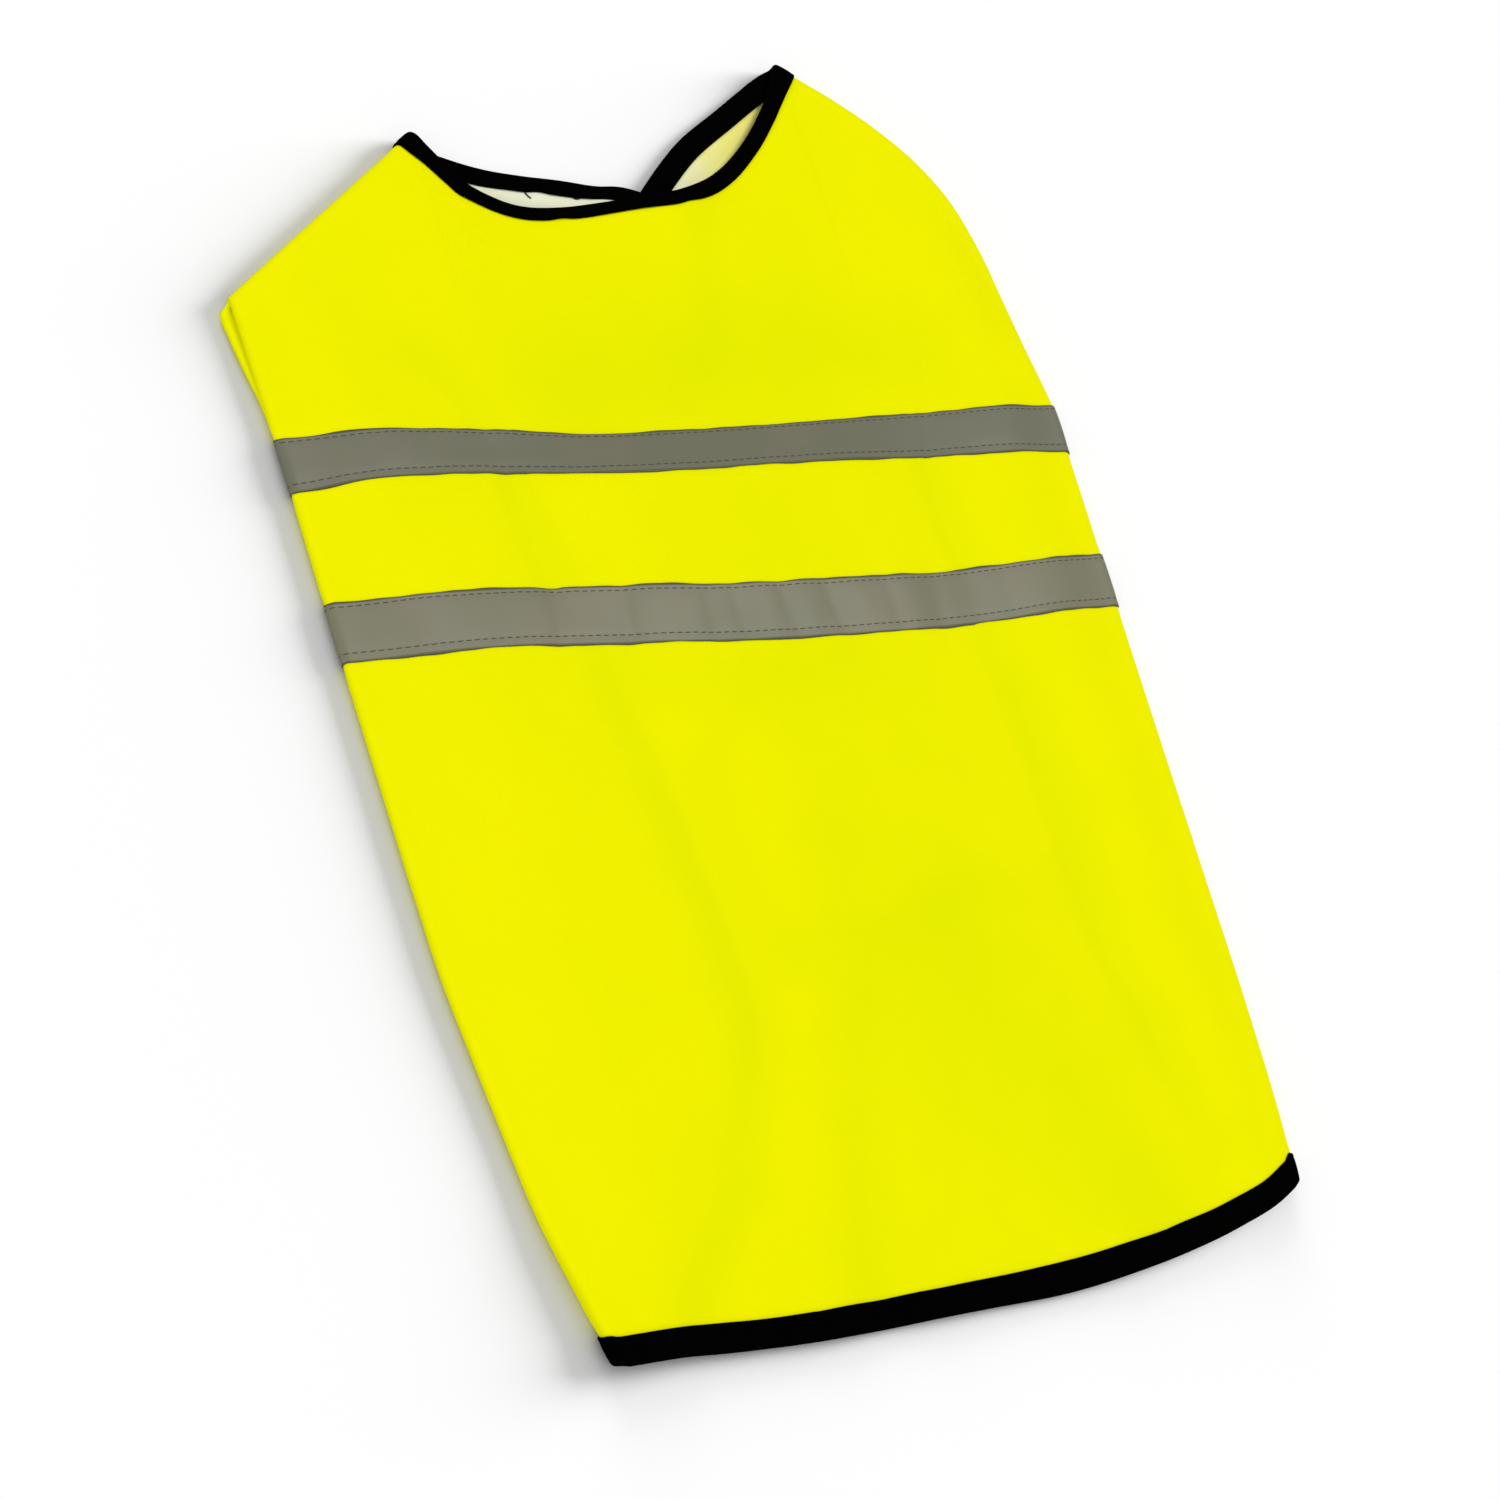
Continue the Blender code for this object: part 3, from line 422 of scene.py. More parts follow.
def ripples(x, y):
    total = np.zeros(np.broadcast(x, y).shape)
    for length, heading, height in RIPPLES:
        turn = np.radians(heading)
        along = (x * np.cos(turn) + y * np.sin(turn)) / length
        total += height * np.sin(2 * np.pi * along + heading + np.sin(along + heading))
    return total


def back_level(x, y):
    """Height of the back's cloth away from its folded edges."""
    s = {name: at(y) for name, at in SECTION.items()}
    left, right = LEFT_X(y) + ROLL, RIGHT_X(y) - ROLL
    between = s["trough_right_x"] - s["trough_left_x"]
    knots = [
        (left, s["folds"]),
        (left + LOBE_SHARE * (s["trough_left_x"] - left), s["lobe_left"]),
        (s["trough_left_x"], s["trough_left"]),
        (s["trough_left_x"] + PLATEAU_SHARE * between, s["middle"]),
        (s["trough_right_x"] - PLATEAU_SHARE * between, s["middle"]),
        (s["trough_right_x"], s["trough_right"]),
        (right + LOBE_SHARE * (s["trough_right_x"] - right), s["lobe_right"]),
        (right, s["folds"]),
    ]
    height = knots[0][1]
    for (x0, z0), (x1, z1) in zip(knots, knots[1:]):
        height = height + (z1 - z0) * smooth((x - x0) / (x1 - x0))
    height = height + hem_folds(x, y)
    from_neck = np.abs(signed_distance(NECKLINE_PATH, x, y))
    return height + (NECK_EDGE(x) - height) * (1 - smooth(from_neck / NECK_SLOPE))


def back_detail(x, y):
    """Creases, puckers and ripples of the back, none of them at its folds or its seams."""
    inside = smooth(from_fold(x, y) / EVEN_STRIP) * smooth(to_seam(x, y) / EVEN_STRIP)
    return (crease_height(BACK_CREASES, x, y) + puckers(x, y) + ripples(x, y)) * inside


def lift_beside(distance):
    """Lift of cloth by a trim under it: full within the trim, none past the ramp."""
    return TRIM_LIFT * (1 - smooth(distance / RAMP))


def belly_level(x, y, from_hem=np.inf, is_left=False):
    """Height of the belly band's cloth away from its folded edges."""
    lift = lift_beside(from_hem - BOUND)
    low, high = tape_edges(REAR_TAPE, x)
    lift = np.maximum(lift, lift_beside(np.maximum(low - y, y - high)))
    low, high = tape_edges(FRONT_TAPE, x)
    lift = np.maximum(lift, lift_beside(np.maximum(np.maximum(low - y, y - high), from_fold(x, y))))
    start, end = BELLY_RISE
    return FLOOR_LEVEL + lift + is_left * OVERLAP_LIFT * smooth((x - start) / (end - start))


def strap_level(side, x, y):
    """Height of a chest strap's cloth away from its folded edge."""
    path = NECK_PATHS[side]
    past_tip = path[-1] + (path[-1] - path[-2]) * TIP_REACH
    from_edge = np.abs(signed_distance(np.vstack([path, past_tip]), x, y))
    height = FLOOR_LEVEL + lift_beside(from_edge - BOUND - STRAP_EASE)
    if side == "right":
        return height
    start, end = STRAP_RISE
    over = smooth((signed_distance(NECK_PATHS["right"], x, y) - start) / (end - start))
    return height + (strap_level("right", x, y) + OVERLAP_LIFT - height) * over


def seam_share(x, y):
    return np.maximum(fold_share(to_seam(x, y)), SEAM_OPENING)


def drawn_round(level, other, share):
    """A layer's height where it is drawn towards the other layer round a fold."""
    middle = (level + other) / 2
    return middle + (level - middle) * share


def back_height(x, y):
    """Height of the back's cloth, drawn round the shoulder folds."""
    strap = np.where(x < 0, strap_level("left", x, y), strap_level("right", x, y))
    return drawn_round(back_level(x, y), strap, seam_share(x, y)) + back_detail(x, y)


def belly_height(x, y, from_hem, is_left):
    """Height of the belly band's cloth with its creases, none of them at its folds or its hem."""
    inside = smooth(from_fold(x, y) / (2 * EVEN_STRIP)) * smooth((from_hem - BOUND) / EVEN_STRIP)
    return belly_level(x, y, from_hem, is_left) + crease_height(BELLY_CREASES, x, y) * inside


def fold_height(x, y, turn, from_hem):
    """Height of the cloth round a side fold, from the belly band to the back."""
    share = np.sin(turn) if turn < 0 else np.minimum(np.sin(turn), seam_share(x, y))
    return drawn_round(back_level(x, y), belly_level(x, y, from_hem), share)


def strap_height(side, x, y):
    """Height of a chest strap's cloth, drawn round the shoulder fold."""
    return drawn_round(strap_level(side, x, y), back_level(x, y), seam_share(x, y))


def peek_out(y, turn):
    """How far the left fold stands out where the layer turned under shows, less the crease over it."""
    below = np.sin(-2 * min(turn, 0)) ** 0.5 if turn < 0 else 0
    return PEEK_SHARE(y) * (PEEK_REACH * below - PEEK_VALLEY * (abs(turn) < FOLD_TURNS[0] / 2))


def settle(edge_y, x_at):
    """y at which columns meet an edge that is given over x."""
    y = edge_y(x_at(0.0))
    for _ in range(SETTLE_ROUNDS):
        y = edge_y(x_at(y))
    return y


def front_edge(x):
    """y of the back's front edge: left shoulder, neckline, right shoulder."""
    outline = np.concatenate([SEAM_PATHS["left"], NECKLINE_PATH[1:], SEAM_PATHS["right"][1:]])
    return np.interp(x, outline[:, 0], outline[:, 1])


def key_rows(hem, hem_spread, front, front_steps, x_at):
    """y of the rows of one column where the cloth bends or a trim has its edge."""
    rows = list(hem + np.array([0, BINDING_WIDTH / 2, BOUND, BOUND + RAMP]) * hem_spread)
    for tape in (REAR_TAPE, FRONT_TAPE):
        low, high = tape_edges(tape, x_at(tape[0][1]))
        rows += [low - RAMP, low, high, high + RAMP]
    return np.array(rows + list(front - front_steps))


def body_columns():
    """Every column of the body, round the girth: kind, turn round the fold or 0, and x over y."""

    def belly(edge_x, inward, end, share):
        return lambda y: edge_x(y) + inward * ROLL + share * (end - edge_x(y) - inward * ROLL)

    def fold(edge_x, inward, turn):
        return lambda y: edge_x(y) + inward * ROLL * (1 - np.cos(turn))

    def back(share):
        return lambda y: (LEFT_X(y) + ROLL) * (1 - share) + (RIGHT_X(y) - ROLL) * share

    turns = [*-FOLD_TURNS[::-1], 0, *FOLD_TURNS]
    first, last = BACK_X[0], BACK_X[-1]
    left_shares = finer([1, REAR_TAPE_END, 0], UNDER_STEP, LEFT_END - first)
    right_shares = finer([0, 1], UNDER_STEP, last - RIGHT_END)
    columns = [("belly_left", 0, belly(LEFT_X, 1, LEFT_END, share)) for share in left_shares]
    columns += [("fold_left", turn, fold(LEFT_X, 1, turn)) for turn in turns]
    columns += [("back", 0, back((x - first) / (last - first))) for x in finer(BACK_X, ACROSS_STEP)]
    columns += [("fold_right", turn, fold(RIGHT_X, -1, turn)) for turn in turns[::-1]]
    columns += [("belly_right", 0, belly(RIGHT_X, -1, RIGHT_END, share)) for share in right_shares]
    return columns


def spread_of(edge, stations, limit):
    """How much longer a step along y is than a step square to the edge."""
    return np.minimum(np.sqrt(1 + np.gradient(edge, stations) ** 2), limit)


COLUMNS = body_columns()
KINDS = [kind for kind, _, _ in COLUMNS]


def body_edges():
    """y of the rear and front edge of every column."""
    hem, front = [], []
    for kind, turn, x_at in COLUMNS:
        upper_hem, upper_front = settle(HEM_Y, x_at), settle(front_edge, x_at)
        lower_hem, lower_front = settle(BELLY_HEM_Y, x_at), settle(BELLY_FRONT_Y, x_at)
        if kind == "back":
            hem.append(upper_hem)
            front.append(upper_front)
        elif kind.startswith("belly"):
            hem.append(lower_hem)
            front.append(lower_front)
        else:
            hem.append(lower_hem + (upper_hem - lower_hem) * (turn / np.pi + 0.5))
            reach = 1 if turn > 0 else 1 - (turn / (np.pi / 2)) ** 2
            front.append(BELLY_FRONT[0][1] + (upper_front - BELLY_FRONT[0][1]) * reach)
    return np.array(hem), np.array(front)


def body_surface(rows):
    """The body: back, side folds and both ends of the belly band, at places between the key rows."""
    hem, front = body_edges()
    least_step = ROLL * FOLD_TURNS[0]
    spreads = []
    for edge, limit in ((hem, HEM_SPREAD), (front, FRONT_SPREAD)):
        ends = np.array([x_at(y) for (_, _, x_at), y in zip(COLUMNS, edge)])
        steps = np.maximum(np.abs(np.diff(ends)), least_step)
        spreads.append(spread_of(edge, np.r_[0, np.cumsum(steps)], limit))
    full_front = BELLY_FRONT[0][1]
    seam_steps = np.array([BOUND, BINDING_WIDTH / 2, *EDGE_STEPS[::-1]])
    plain_steps = BOUND * np.linspace(1, 0, len(seam_steps))
    grid = []
    for k, (kind, turn, x_at) in enumerate(COLUMNS):
        hem_spread, front_spread = spreads[0][k], spreads[1][k]
        if kind.startswith("belly"):
            y = key_rows(hem[k], hem_spread, full_front, plain_steps, x_at)
            base = y[TAPE_ROWS["rear"][1] + 1]
            y = np.where(y > base, base + (y - base) * (front[k] - base) / (full_front - base), y)
        else:
            steps = seam_steps * front_spread if kind == "back" or turn > 0 else plain_steps
            y = key_rows(hem[k], hem_spread, front[k], steps, x_at)
        y = np.interp(rows, np.arange(len(y)), y)
        x = x_at(y)
        from_hem = (y - hem[k]) / hem_spread
        if kind == "back":
            z = back_height(x, y)
        elif kind.startswith("belly"):
            z = belly_height(x, y, from_hem, kind == "belly_left")
        else:
            z = fold_height(x, y, turn, from_hem)
        if kind == "fold_left":
            x = x - peek_out(y, turn)
        grid.append(np.stack([x, y, z], axis=-1))
    return np.array(grid).transpose(1, 0, 2)


def body_rows():
    """Places between the key rows, no more than a step apart down the middle of the back."""
    hem_keys, tape_keys, seam_keys = 4, 4 * len(TAPE_ROWS), 2 + len(EDGE_STEPS)
    keys = np.arange(hem_keys + tape_keys + seam_keys)
    middle = body_surface(keys)[:, KINDS.index("back") + KINDS.count("back") // 2, 1]
    places = [
        k + np.arange(count) / count
        for k, count in enumerate(np.maximum(1, np.ceil(np.diff(middle) / ALONG_STEP)).astype(int))
    ]
    return np.r_[np.concatenate(places), keys[-1]]


# Section of a binding: distance from the cloth's edge, and height of its middle surface over the cloth's
BINDING_SECTION = np.array([
    (0.0, 1.15), (1.0, 1.25), (2.4, 1.3), (4.2, 1.3), (6.0, 1.26), (7.2, 1.15), (7.9, 1.02), (8.5, 1.10),
    (BINDING_WIDTH, 0.96),
])
BINDING_SEAM = 6  # row of that section where its stitches lie
NOSE_ANGLES = np.radians([62, 38, 13, -13, -38, -62])
NOSE_REACH = 1.1
BINDING_WALL = 0.7
BINDING_WAVES = [(4.3, 0.05), (9.1, 0.07), (23, 0.06)]  # length in columns, height
WIDTH_WAVES = [(19, 0.008), (41, 0.014)]  # length in columns, share of the width
WAVE_DRIFT = 1.5  # how much a wave's length varies along it
# Where a binding is wider or narrower: x, half width, share of the width gained
NECK_SWELLS = [(-29.1, 4, -0.1), (30.8, 4.5, -0.09), (-44, 34, -0.24), (8, 30, -0.32), (84, 22, -0.1)]
HEM_SWELLS = [(62, 48, 0.12)]
EDGE_ROWS = np.array([*BINDING_SECTION[:, 0], BOUND, (2 * BOUND + RAMP) / 2, BOUND + RAMP])

# Section of a tape: share of its width, height of its middle surface over the cloth's
TAPE_WALL = 0.5
TAPE_SECTION = np.array([
    (0, 0.80), (0.022, 0.84), (0.05, 0.86), (0.11, 0.86), (0.155, 0.79), (0.2, 0.88), (0.28, 0.95),
    (0.42, 0.97), (0.56, 0.97), (0.7, 0.95), (0.82, 0.92), (0.88, 0.86), (0.92, 0.79), (0.955, 0.86),
    (0.98, 0.84), (1, 0.80),
])
TAPE_SEAMS, TAPE_EDGES = (4, 12), [0, 1, -2, -1]  # rows of that section with stitches, and at its edges
SCALLOPS = [(9, 0.10), (21, 0.16), (37, 0.22)]  # waves of a tape's edges: length in columns, height

# Stitches: pitch, length, width and rise of each, then rings along and sides round it
PITCH, STITCH, THREAD = 3.4, 2.9, 0.38
RING_PLACES = np.array([0, 0.14, 0.5, 0.86, 1])
RING_HEIGHTS = np.array([-0.30, 0.02, 0.12, 0.02, -0.30])
RING_WIDTHS = np.array([0.4, 0.9, 1, 0.9, 0.4])
RING_SIDES = 6
STRAY = 0.07  # how far a stitch may lie off its line
SEEDS = {"neck": 3, "hem": 5, "rear": 11, "front": 17, "on tapes": 21, "on bindings": 22, "on cloth": 23}
TURNED_ROW, TURNED_KEY = -5, 7.6  # turned hems 8 mm wide: row of a strap, key rows before the front edge
PATCH_INSET, PATCH_STEP = 1.6, 1.0  # from a fastening patch's edge to its stitches, and between their points
THREAD_RINGS, THREAD_END_RADIUS = 16, 0.3
FLOOR_CLEAR = 0.02  # a thread that rests on the floor is pressed flat


def strap_surface(side):
    """A chest strap, from its neck edge to its leg edge, in rows that run from left to right."""
    neck, leg, seam = NECK_PATHS[side], LEG_PATHS[side], SEAM_PATHS[side]
    even = np.linspace(0, 1, STRAP_STEPS)[1:]
    neck_at = np.r_[EDGE_STEPS, ROLL + even * (length_of(neck) - ROLL)]
    leg_at = np.r_[EDGE_STEPS, ROLL + even * (length_of(leg) - ROLL)]
    start, end = points_along(neck, neck_at), points_along(leg, leg_at)
    chord = end - start
    length = np.hypot(*chord.T)
    tangent = np.gradient(start, neck_at, axis=0)
    square = np.abs(tangent[:, 0] * chord[:, 1] - tangent[:, 1] * chord[:, 0])
    spread = np.hypot(*tangent.T) * length / square
    bound = EDGE_ROWS[:, None] * spread / length
    share = np.concatenate([bound, bound[-1] + (1 - bound[-1]) * np.linspace(0, 1, STRAP_ROWS)[1:, None]])
    x, y = (start[:, k] + chord[:, k] * share for k in (0, 1))
    curve = seam[::-1] if side == "left" else seam
    outline = points_along(curve, share[:, 0] * (length_of(curve) - np.hypot(*(curve[-1] - end[0]))))
    pull = 1 - smooth(leg_at / (PULL_SHARE * leg_at[-1]))
    x = x + (outline[:, 0] - x[:, 0])[:, None] * pull
    y = y + (outline[:, 1] - y[:, 0])[:, None] * pull
    inside = smooth(to_seam(x, y) / EVEN_STRIP) * smooth((share * length - BOUND) / EVEN_STRIP)
    z = strap_height(side, x, y) + crease_height(STRAP_CREASES, x, y) * inside
    grid = np.stack([x, y, z], axis=-1)
    return grid if side == "left" else grid[:, ::-1]


def unit(vectors):
    return vectors / np.linalg.norm(vectors, axis=-1, keepdims=True)


def directions(grid):
    """Direction of the columns of a grid at each point, halfway between those of its neighbours."""
    step = unit(np.diff(grid, axis=0))
    return np.concatenate([step[:1], step[:-1] + step[1:], step[-1:]])


def outward(grid):
    """Unit normals of a grid of points, on its outer side."""
    across = directions(grid.transpose(1, 0, 2)).transpose(1, 0, 2)
    return unit(np.cross(across, directions(grid)))


def waves(count, seed, parts):
    """An uneven wave over a number of columns, from parts that each have a length and a height."""
    random = np.random.default_rng(seed)
    station = np.arange(count)
    total = np.zeros(count)
    for length, height in parts:
        turn = 2 * np.pi * (station / length + random.random())
        total += height * np.sin(turn + WAVE_DRIFT * np.sin(station / length))
    return total


def strip_of(grid, key_places):
    """Rows of a surface at the distances of the binding's section."""
    rows = np.interp(BINDING_SECTION[:, 0], key_places[1], key_places[0])
    low = np.floor(rows).astype(int)
    part = (rows - low)[:, None, None]
    return grid[low] * (1 - part) + grid[np.minimum(low + 1, len(grid) - 1)] * part


def neckline_strip(body):
    """The strip of the back that the neck binding covers, from the right shoulder to the left one."""
    first = KINDS.index("back")
    from_front = np.array([0, len(EDGE_STEPS), len(EDGE_STEPS) + 1])
    front_rows = body[-1 - from_front, first : first + KINDS.count("back")]
    ends = front_rows[0, :, :2]
    near = np.r_[EDGE_STEPS, finer([ROLL, CORNER_STEP], ACROSS_STEP)[1:]]
    inside = (ends[:, 0] > NECKLINE[0][0] + LEFT_CORNER) & (ends[:, 0] < NECKLINE[-1][0] - RIGHT_CORNER)
    right = points_along(NECKLINE_PATH[::-1], near)
    left = points_along(NECKLINE_PATH, near)[::-1]
    edge = np.concatenate([right, ends[inside][::-1], left])
    strip = []
    for step in BINDING_SECTION[:, 0]:
        depth = np.interp(edge[:, 0], ends[:, 0], ends[:, 1] - front_rows[2, :, 1]) * step / BOUND
        spot = edge - np.stack([0 * depth, depth], axis=-1)
        for seam in (SEAM_PATHS["right"], SEAM_PATHS["left"][::-1]):
            along_seam = points_along(seam, np.array([0, step]))
            beside = 1 - smooth((np.hypot(*(edge - seam[0]).T) - ROLL) / CORNER_EASE)
            spot = spot + (edge + along_seam[1] - along_seam[0] - spot) * beside[:, None]
        strip.append(np.stack([*spot.T, back_height(*spot.T)], axis=-1))
    return np.array(strip)


def swelled(strip, swells):
    """A strip made wider or narrower in places, from its first row."""
    gained = sum(share * bell(strip[0, :, 0] - x, half_width) for x, half_width, share in swells)
    return strip[0] + (strip - strip[0]) * (1 + gained)[:, None]


def neck_strip(body, straps):
    """The strip under the whole neck binding: right strap, neckline of the back, left strap."""
    edge_places = (np.arange(len(EDGE_ROWS)), EDGE_ROWS)
    right, left = (strip_of(straps[side], edge_places) for side in ("right", "left"))
    top = neckline_strip(body)
    top[:, 0] = (top[:, 0] + right[:, -1]) / 2
    top[:, -1] = (top[:, -1] + left[:, 0]) / 2
    past_right = np.concatenate([top, left[:, 1:]], axis=1)
    return np.concatenate([right[:, :-1], swelled(past_right, NECK_SWELLS)], axis=1)


def binding_surface(strip, seed):
    """Middle surface of a binding folded over the edge of a strip, a little uneven."""
    count = strip.shape[1]
    strip = strip[0] + (strip - strip[0]) * (1 + waves(count, seed + 1, WIDTH_WAVES))[:, None]
    normal = outward(strip)
    reach = BINDING_SECTION[:, :1] / BINDING_WIDTH
    height = (BINDING_SECTION[:, 1:] + waves(count, seed, BINDING_WAVES) * reach)[..., None]
    over, under = strip + height * normal, strip - height * normal
    past = unit(strip[0] - strip[1])
    nose = [
        strip[0] + past * NOSE_REACH * np.cos(angle) + height[0] * np.sin(angle) * normal[0]
        for angle in NOSE_ANGLES[::-1]
    ]
    return np.stack([*under[::-1], *nose, *over])[::-1]


def tape_surface(which, first, stop):
    """Middle surface of a tape, with a groove along each line of stitches and an uneven edge."""
    low, high = TAPE_ROWS[which]
    grid = body_surface(low + (high - low) * TAPE_SECTION[:, 0])[:, first:stop]
    count = grid.shape[1]
    for edge, next_row, wave in ((0, 1, SEEDS[which]), (-1, -2, SEEDS[which] + 1)):
        side = unit(grid[edge] - grid[next_row])
        grid[edge] = grid[edge] + side * waves(count, wave, SCALLOPS)[:, None]
    return grid + TAPE_SECTION[:, 1][:, None, None] * outward(grid)


def shown(name, data):
    made = bpy.data.objects.new(name, data)
    bpy.context.scene.collection.objects.link(made)
    return made


def add_piece(mesh, name, *finishes):
    for finish in finishes:
        mesh.materials.append(finish)
    mesh.shade_smooth()
    return shown(name, mesh)


def make_sheet(name, grid, thickness, *finishes, painted_shade=None):
    """One closed wall: a grid of points in millimetres, thickened evenly to both sides."""
    rows, columns = grid.shape[:2]
    corner = np.arange(rows * columns).reshape(rows, columns)
    quads = np.stack([corner[:-1, :-1], corner[:-1, 1:], corner[1:, 1:], corner[1:, :-1]], axis=-1)
    quads = quads.reshape(-1, 4)
    mesh = bpy.data.meshes.new(name)
    mesh.from_pydata((grid.reshape(-1, 3) * MM).tolist(), [], quads.tolist())
    around, along = distances_along(grid[rows // 2]), distances_along(grid[:, columns // 2])
    places = np.stack(np.meshgrid(around, along), axis=-1).reshape(-1, 2) * MM
    layer = mesh.uv_layers.new(name="cut")
    layer.data.foreach_set("uv", places[quads.ravel()].ravel())
    # Share of painted shade at each point, for the material to read
    if painted_shade is not None:
        painted_shades = mesh.attributes.new("painted_shade", "FLOAT", "POINT")
        painted_shades.data.foreach_set("value", painted_shade.ravel().astype(np.float32))
    made = add_piece(mesh, name, *finishes)
    shell = made.modifiers.new("wall", "SOLIDIFY")
    shell.thickness = thickness * MM
    shell.offset = 0
    shell.use_even_offset = True
    shell.material_offset = len(finishes) - 1
    return made


def tubes(centres, across, up, radii):
    """Points and faces of many tubes: centres are tubes by rings by 3, radii tubes by rings."""
    count, rings = radii.shape
    turn = 2 * np.pi * np.arange(RING_SIDES) / RING_SIDES
    round_it = np.cos(turn)[:, None] * across[:, :, None] + np.sin(turn)[:, None] * up[:, :, None]
    points = centres[:, :, None] + radii[:, :, None, None] * round_it
    index = np.arange(count * rings * RING_SIDES).reshape(count, rings, RING_SIDES)
    a, b = index[:, :-1], index[:, 1:]
    sides = np.stack([a, np.roll(a, -1, axis=2), np.roll(b, -1, axis=2), b], axis=-1).reshape(-1, 4)
    caps = [*index[:, 0, ::-1].tolist(), *index[:, -1].tolist()]
    return points.reshape(-1, 3), sides.tolist() + caps


def stitched(path, normal, random):
    """Points and faces of a row of stitches along a path that lies on a surface with these normals."""
    along = distances_along(path)
    count = int(along[-1] / PITCH)
    start = (np.arange(count) + 0.5) * along[-1] / count - STITCH / 2
    stations = start[:, None] + RING_PLACES * STITCH

    def at(values):
        return np.stack([np.interp(stations, along, values[:, k]) for k in range(3)], axis=-1)

    heading = unit(at(np.gradient(path, along, axis=0)))
    up = unit(at(normal))
    across = unit(np.cross(heading, up))
    off = random.uniform(-STRAY, STRAY, (count, 2, 1, 1))
    slant = off[:, 0] + (off[:, 1] - off[:, 0]) * RING_PLACES[:, None]
    centres = at(path) + up * RING_HEIGHTS[:, None] + across * slant
    radii = np.tile(RING_WIDTHS * THREAD / 2, (count, 1))
    return tubes(centres, across, np.cross(across, heading), radii)


def make_tubes(name, groups, finish):
    """One mesh of several groups of tubes, each its points and faces."""
    points, faces, start = [], [], 0
    for group_points, group_faces in groups:
        group_points[:, 2] = np.maximum(group_points[:, 2], FLOOR_CLEAR)
        points += (group_points * MM).tolist()
        faces += [[corner + start for corner in face] for face in group_faces]
        start += len(group_points)
    mesh = bpy.data.meshes.new(name)
    mesh.from_pydata(points, [], faces)
    return add_piece(mesh, name, finish)


def stitch_rows(name, rows, finish, seed):
    """A mesh of stitches along rows, each a path and its normals."""
    random = np.random.default_rng(seed)
    return make_tubes(name, [stitched(path, normal, random) for path, normal in rows], finish)


def row_on(grid, row, height):
    """A row of a surface as a path at a height over it, with its normals."""
    normal = outward(grid)
    return grid[row] + height * normal[row], normal[row]


def patch_outline(corners, level, up):
    """The outline of a fastening patch, drawn in, as a path on a face that looks up or down."""
    corners = np.array(corners, float)
    middle = corners.mean(axis=0)
    drawn_in = middle + (corners - middle) * (1 - PATCH_INSET / np.hypot(*(corners - middle).T)[:, None])
    closed = np.vstack([drawn_in, drawn_in[:1]])
    spots = points_along(closed, np.arange(0, length_of(closed), PATCH_STEP))
    path = np.stack([*spots.T, level(*spots.T)], axis=-1)
    return path, np.tile([0, 0, float(up)], (len(path), 1))


def thread_tube(points, level, lift):
    """A loose thread end that lies at a lift over a level, as one tube through plan points."""
    spots = path_through(points, THREAD_RINGS)
    path = np.stack([*spots.T, level(*spots.T) + lift], axis=-1)
    heading = unit(np.gradient(path, axis=0))
    up = np.tile([0, 0, 1.0], (len(path), 1))
    across = unit(np.cross(heading, up))
    radii = np.full((1, len(path)), THREAD_END_RADIUS)
    return tubes(path[None], across[None], np.cross(across, heading)[None], radii)


# Plan points of the loose ends of thread on the left strap and at the right shoulder, corners of the patches
THREAD_ENDS = [
    [(-40.2, 214), (-39.3, 211.5), (-38.6, 209.8), (-37.1, 207.8)],
    [(-18.6, 210), (-17.9, 207.8), (-16, 207), (-13.9, 208.3), (-13.4, 210)],
    [(-5.6, 209.5), (-4.9, 207.1), (-2.2, 208.3), (-1.6, 209.5)],
]
FOLD_THREAD = [(164.6, 182.4), (166.6, 181.8), (168.4, 182.2)]
CHEST_PATCH = [(-19, 143.5), (1, 153), (3, 166), (-19, 153)]
BELLY_PATCH = [(-9, -120), (20, -120), (20, -15), (-9, -15)]

# Colours
# The greener yellow serves both for random patches of the cloth and for painted shade in its troughs
WARM_YELLOW, PATCH_AND_SHADE_YELLOW = (0.757, 0.742, 0.0), (0.67, 0.712, 0.0)
# Pale is the wrong side's own colour; the yellow is painted reflection of light from the yellow cloth inside
# the neck
PALE_INSIDE, BOUNCED_YELLOW_INSIDE = (0.77, 0.78, 0.58), (0.79, 0.74, 0.19)
INSIDE_TURN = (0.03, 0.08)  # x, in metres, over which the inside turns from pale to painted reflection, yellow light bounced off the yellow cloth
BLACK_BINDING, LINT_GAIN = (0.0004, 0.0004, 0.0003), 2.2
BLACK_THREAD, GREY_THREAD, YELLOW_THREAD = (0.002, 0.002, 0.002), (0.05, 0.05, 0.036), (0.72, 0.74, 0.0)
THREAD_GAIN = 1.5  # how much lighter thread is in places
# One and the same tape: the front grey is a painted shaded copy of the rear grey, darker for how light falls
# on it
REAR_GREY_LIT, FRONT_GREY_SHADED = (0.157, 0.156, 0.099), (0.130, 0.132, 0.088)
WARM_GREY = (1.09, 1.02, 1.04)  # how a tape's colour is scaled in its warm patches
# Darker grey used for random grains of a tape and for painted shade along its edges, then the share of that
# painted shade
GRAIN_AND_EDGE_SHADE, EDGE_SHADE_SHARE = (0.05, 0.05, 0.024), 0.8
NAP_DARK, NAP_LIGHT, NAP_RAMP = (0.003, 0.003, 0.003), (0.02, 0.02, 0.02), (0.2, 1.4)
FLOOR_DARK, FLOOR_LIGHT = (0.90, 0.90, 0.90), (0.915, 0.915, 0.915)
SHEEN_TINT = (1, 1, 0.1, 1)  # of the yellow cloth's faint gloss
